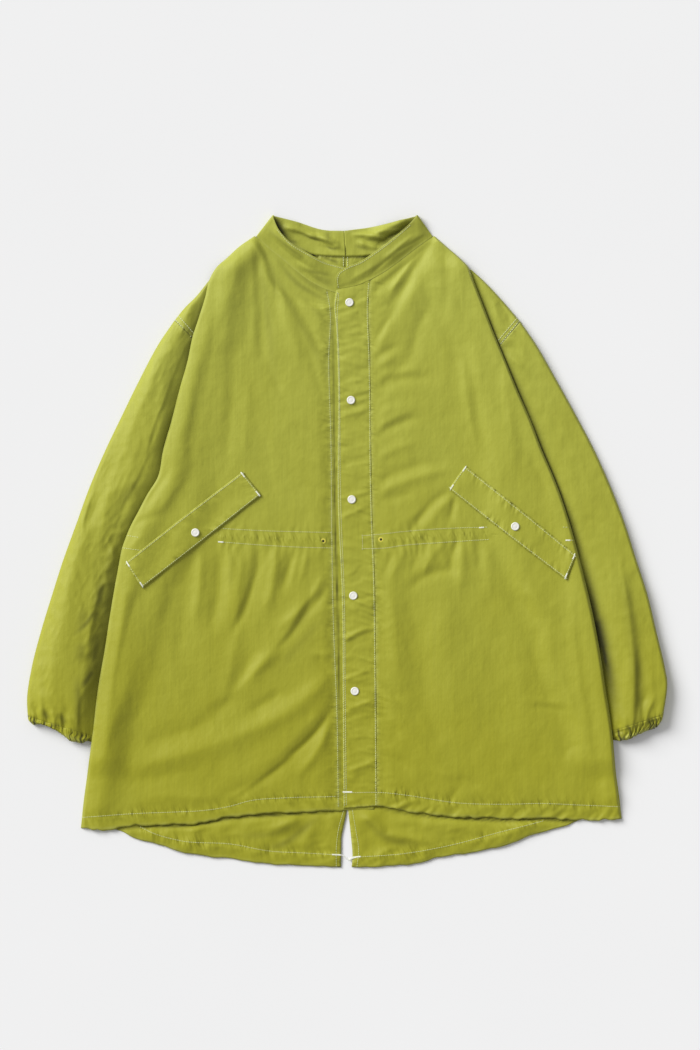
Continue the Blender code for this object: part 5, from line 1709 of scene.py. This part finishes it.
class PARKA_OT_tail_cord(Operator):
    """Makes the short end of drawcord that crosses the split, with its small knot"""

    bl_idname = "parka.tail_cord"
    bl_label = "Make Tail Cord"

    def execute(self, context):
        curve = bpy.data.curves.new("tail_cord_thread", "CURVE")
        curve.dimensions = "3D"
        curve.bevel_depth = CORD_RADIUS * MM
        curve.bevel_resolution = 3
        curve.use_fill_caps = True
        route = edge(TAIL_CORD)(np.linspace(0, 1, 40))
        x, y, z = KNOT
        angles = np.linspace(0, 5.2, 18)
        knot = [(x + 1.5 * math.cos(a), y + 1.3 * math.sin(a), z + 0.5 * math.sin(2 * a)) for a in angles]
        for line in (route, knot):
            spline = curve.splines.new("POLY")
            spline.points.add(len(line) - 1)
            for point, at in zip(spline.points, line):
                point.co = (*(Vector(at) * MM), 1)
        source = add_object("tail_cord_curve", curve)
        mesh = bpy.data.meshes.new_from_object(source.evaluated_get(context.evaluated_depsgraph_get()))
        bpy.data.objects.remove(source)
        mesh.shade_smooth()
        mesh.materials.clear()
        mesh.materials.append(bpy.data.materials["tack_thread"])
        piece = add_object("tail_cord_thread", mesh)
        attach(piece, "root")
        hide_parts("tail_cord")
        return {"FINISHED"}


# ---------------------------------------------------------------- stitching


def stitch_tree(name, finish):
    """Geometry Nodes: a rounded stitch at each pitch along the rows, realized, with its finish."""
    tree = bpy.data.node_groups.new(name, "GeometryNodeTree")
    face = tree.interface
    face.new_socket("Rows", in_out="INPUT", socket_type="NodeSocketGeometry")
    for label in ("Pitch", "Stitch Length", "Thread Width"):
        face.new_socket(label, in_out="INPUT", socket_type="NodeSocketFloat")
    face.new_socket("Stitches", in_out="OUTPUT", socket_type="NodeSocketGeometry")
    given = tree.nodes.new("NodeGroupInput").outputs
    width, length = given["Thread Width"], given["Stitch Length"]
    curve = add_node(tree, "GeometryNodeMeshToCurve", Mesh=given["Rows"]).outputs["Curve"]
    spots = add_node(tree, "GeometryNodeCurveToPoints", mode="LENGTH", Curve=curve, Length=given["Pitch"])
    thread = add_node(tree, "GeometryNodeMeshUVSphere", Segments=6, Rings=5, Radius=0.5)
    size = add_node(tree, "ShaderNodeCombineXYZ", X=width, Y=width, Z=length).outputs["Vector"]
    shape = add_node(tree, "GeometryNodeTransform", Geometry=thread.outputs["Mesh"], Scale=size)
    place = add_node(tree, "GeometryNodeInstanceOnPoints", Instance=shape.outputs["Geometry"])
    for label in ("Points", "Rotation"):
        tree.links.new(spots.outputs[label], place.inputs[label])
    real = add_node(tree, "GeometryNodeRealizeInstances", Geometry=place.outputs["Instances"])
    paint = add_node(tree, "GeometryNodeSetMaterial", Geometry=real.outputs["Geometry"])
    paint.inputs["Material"].default_value = bpy.data.materials[finish]
    add_node(tree, "NodeGroupOutput", Stitches=paint.outputs["Geometry"])
    return tree


def laid_line(points, trees, above, spacing=2.0):
    """A plan line brought down on the cloth under it."""
    curve = edge(points)
    whole = np.linalg.norm(np.diff(curve(np.linspace(0, 1, 50)), axis=0), axis=1).sum()
    plan = curve(np.linspace(0, 1, max(2, int(whole / spacing) + 1)))
    return [(x, y, drop(trees, x, y) + above) for x, y in plan]


def stitches_object(name, lines, finish, pitch, length, width):
    """Stitches along laid lines, made by Geometry Nodes and kept as a plain mesh."""
    points, ends = [], []
    for line in lines:
        start = len(points)
        points += line
        ends += [(start + i, start + i + 1) for i in range(len(line) - 1)]
    mesh = bpy.data.meshes.new(name + "_rows")
    mesh.from_pydata((np.array(points) * MM).tolist(), ends, [])
    source = add_object(name + "_rows", mesh)
    maker = source.modifiers.new("stitches", "NODES")
    maker.node_group = stitch_tree(name, finish)
    values = {"Pitch": pitch, "Stitch Length": length, "Thread Width": width}
    for item in maker.node_group.interface.items_tree:
        if item.name in values:
            maker[item.identifier] = values[item.name]
    bpy.context.view_layer.update()
    made = bpy.data.meshes.new_from_object(source.evaluated_get(bpy.context.evaluated_depsgraph_get()))
    bpy.data.objects.remove(source)
    made.shade_smooth()
    piece = add_object(name, made)
    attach(piece, "root")


def inset_line(line, other, distance):
    """The line moved towards the other one by a distance."""
    line, other = np.array(line, float), np.array(other, float)
    towards = other - line
    return line + distance * towards / np.linalg.norm(towards, axis=1, keepdims=True)


def flap_rows(sides):
    """Edge stitching of a flap: two long rows and two short ones."""
    upper, lower = np.array(sides["upper"], float), np.array(sides["lower"], float)
    long_rows = [inset_line(upper, lower, 2.2), inset_line(lower, upper, 1.8)]
    ends = [(upper[0], lower[0], upper[-1]), (upper[-1], lower[-1], upper[0])]
    short_rows = []
    for top, bottom, far in ends:
        inward = (far - top) / np.linalg.norm(far - top) * 2.0
        short_rows.append(np.array([top + inward, bottom + inward]))
    return long_rows, short_rows


def collar_rows():
    """Edge stitching along the collar's top."""
    top_right = [(x - 1.2, y - 1.8) for x, y in COLLAR_FRONT_EDGE[RIGHT][1:-1]]
    top_left = [(x + 1.2, y - 1.9) for x, y in COLLAR_FRONT_EDGE[LEFT][1:-2]]
    top_left += [(-10.5, 346), (-12.4, 339), (-11.6, 330)]
    return (("collar_right",), top_right), (("collar_left",), top_left)


def tack(trees, start, end, count):
    """Close rows of thread side by side between two plan points."""
    start, end = np.array(start, float), np.array(end, float)
    along = (end - start) / np.linalg.norm(end - start)
    aside = np.array([-along[1], along[0]])
    offsets = 0.55 * (np.arange(count) - (count - 1) / 2)
    return [laid_line([start + o * aside, end + o * aside], trees, TACK_RAISED, 1.0) for o in offsets]


class PARKA_OT_stitching(Operator):
    """Lays the pale top-stitching, its coarser twin rows and the white bar-tacks on the finished cloth"""

    bl_idname = "parka.stitching"
    bl_label = "Lay Stitching"

    def execute(self, context):
        sizes = context.scene.parka_stitches
        trees = {}
        for piece in bpy.data.objects:
            if "_cloth" in piece.name:
                node = piece.name.replace("_cloth", "").replace("flap_", "pocket_flap_")
                trees[node] = surface(piece)

        def lay(table, above):
            """The table's rows laid on their pieces."""
            return [laid_line(line, [trees[node] for node in on], above) for on, line in table]

        rows = lay((*STITCH_ROWS, *collar_rows()), ROW_RAISED)
        tacks = [tack([trees[node] for node in on], a, b, sizes.tack_rows) for on, a, b in TACKS]
        for side, name in NAMES.items():
            node = "pocket_flap_" + name
            long_rows, short_rows = flap_rows(FLAPS[side])
            rows += lay([((node,), line) for line in (*long_rows, *short_rows)], ROW_RAISED)
            for low, high in short_rows:
                reach = FLAP_TACK * (high - low) / np.linalg.norm(high - low)
                tacks.append(tack([trees[node]], low, low + reach, sizes.tack_rows))
                tacks.append(tack([trees[node]], high - reach, high, sizes.tack_rows))
        twins = lay(TWIN_ROWS, TWIN_RAISED)
        threads = [line for rows_of_tack in tacks for line in rows_of_tack]
        top_size = (sizes.pitch, sizes.length, sizes.width)
        twin_size = (sizes.twin_pitch, sizes.twin_length, sizes.twin_width)
        tack_size = (sizes.tack_pitch, sizes.tack_length, sizes.tack_width)
        stitches_object("top_stitching", rows, "stitch_thread", *top_size)
        stitches_object("armhole_stitching", twins, "stitch_thread", *twin_size)
        stitches_object("bar_tacks", threads, "tack_thread", *tack_size)
        return {"FINISHED"}


# ---------------------------------------------------------------- stage


def paper_floor():
    """A pale plane just under the parka."""
    bpy.ops.mesh.primitive_plane_add(size=12)
    floor = bpy.context.object
    floor.name = "floor"
    floor.location.z = -0.2 * MM
    material = bpy.data.materials.new("floor_paper")
    tree, shader = nodes_of(material)
    noise = stretched_noise(tree, tree.nodes.new("ShaderNodeTexCoord"), (3, 3, 3), 2.0)
    blend = mix_colour(tree, noise.outputs["Fac"], (0.798, 0.798, 0.800), (0.806, 0.806, 0.808))
    tree.links.new(blend.outputs["Color"], shader.inputs["Base Color"])
    shader.inputs["Roughness"].default_value = 1.0
    shader.inputs["Specular IOR Level"].default_value = 0.0
    floor.data.materials.append(material)


class PARKA_OT_stage(Operator):
    """Sets the pale floor, the soft light from the upper left and the camera straight above"""

    bl_idname = "parka.stage"
    bl_label = "Set Stage"

    def execute(self, context):
        scene, stage = context.scene, context.scene.parka_stage
        paper_floor()
        world = bpy.data.worlds.new("studio")
        scene.world = world
        world.use_nodes = True
        world.node_tree.nodes["Background"].inputs["Color"].default_value = (1, 1, 1, 1)
        world.node_tree.nodes["Background"].inputs["Strength"].default_value = stage.sky
        sun = bpy.data.lights.new("window_light", "SUN")
        sun.energy = stage.sun
        sun.angle = math.radians(34)
        lamp = add_object("window_light", sun)
        lamp.rotation_euler = Vector(SUN_FROM).to_track_quat("Z", "Y").to_euler()
        camera = bpy.data.cameras.new("overhead")
        camera.lens = SENSOR * stage.distance / stage.field
        camera.clip_end = 50
        eye = add_object("overhead", camera)
        eye.location = (*VIEW_CENTRE, stage.distance)
        scene.camera = eye
        scene.view_settings.view_transform = "Standard"
        scene.view_settings.look = "None"
        return {"FINISHED"}


class PARKA_PT_panel(Panel):
    """Lists the parka's pieces and their sizes"""

    bl_idname = "PARKA_PT_panel"
    bl_label = "Fishtail Parka"
    bl_space_type = "VIEW_3D"
    bl_region_type = "UI"
    bl_category = "Parka"

    def draw(self, context):
        for group in ("parka_cloth", "parka_stitches", "parka_colours", "parka_stage"):
            box = self.layout.box()
            settings_group = getattr(context.scene, group)
            for name in settings_group.__annotations__:
                box.prop(settings_group, name)
        for operator in OPERATORS:
            self.layout.operator(operator.bl_idname)


POINTERS = {
    "parka_cloth": ParkaCloth,
    "parka_stitches": ParkaStitches,
    "parka_colours": ParkaColours,
    "parka_stage": ParkaStage,
}
OPERATORS = (
    PARKA_OT_materials,
    PARKA_OT_backs,
    PARKA_OT_sleeves,
    PARKA_OT_fronts,
    PARKA_OT_placket,
    PARKA_OT_collar,
    PARKA_OT_flaps,
    PARKA_OT_hardware,
    PARKA_OT_tail_cord,
    PARKA_OT_stitching,
    PARKA_OT_stage,
)
CLASSES = (*POINTERS.values(), *OPERATORS, PARKA_PT_panel)


def register():
    """Adds the classes and the scene's settings."""
    for each in CLASSES:
        bpy.utils.register_class(each)
    for name, group in POINTERS.items():
        setattr(bpy.types.Scene, name, PointerProperty(type=group))


def unregister():
    """Takes the settings and the classes away again."""
    for name in POINTERS:
        delattr(bpy.types.Scene, name)
    for each in reversed(CLASSES):
        bpy.utils.unregister_class(each)


def main():
    """Builds every piece and the stage."""
    register()
    for operator in OPERATORS:
        package, name = operator.bl_idname.split(".")
        getattr(getattr(bpy.ops, package), name)()


if __name__ == "__main__":
    main()
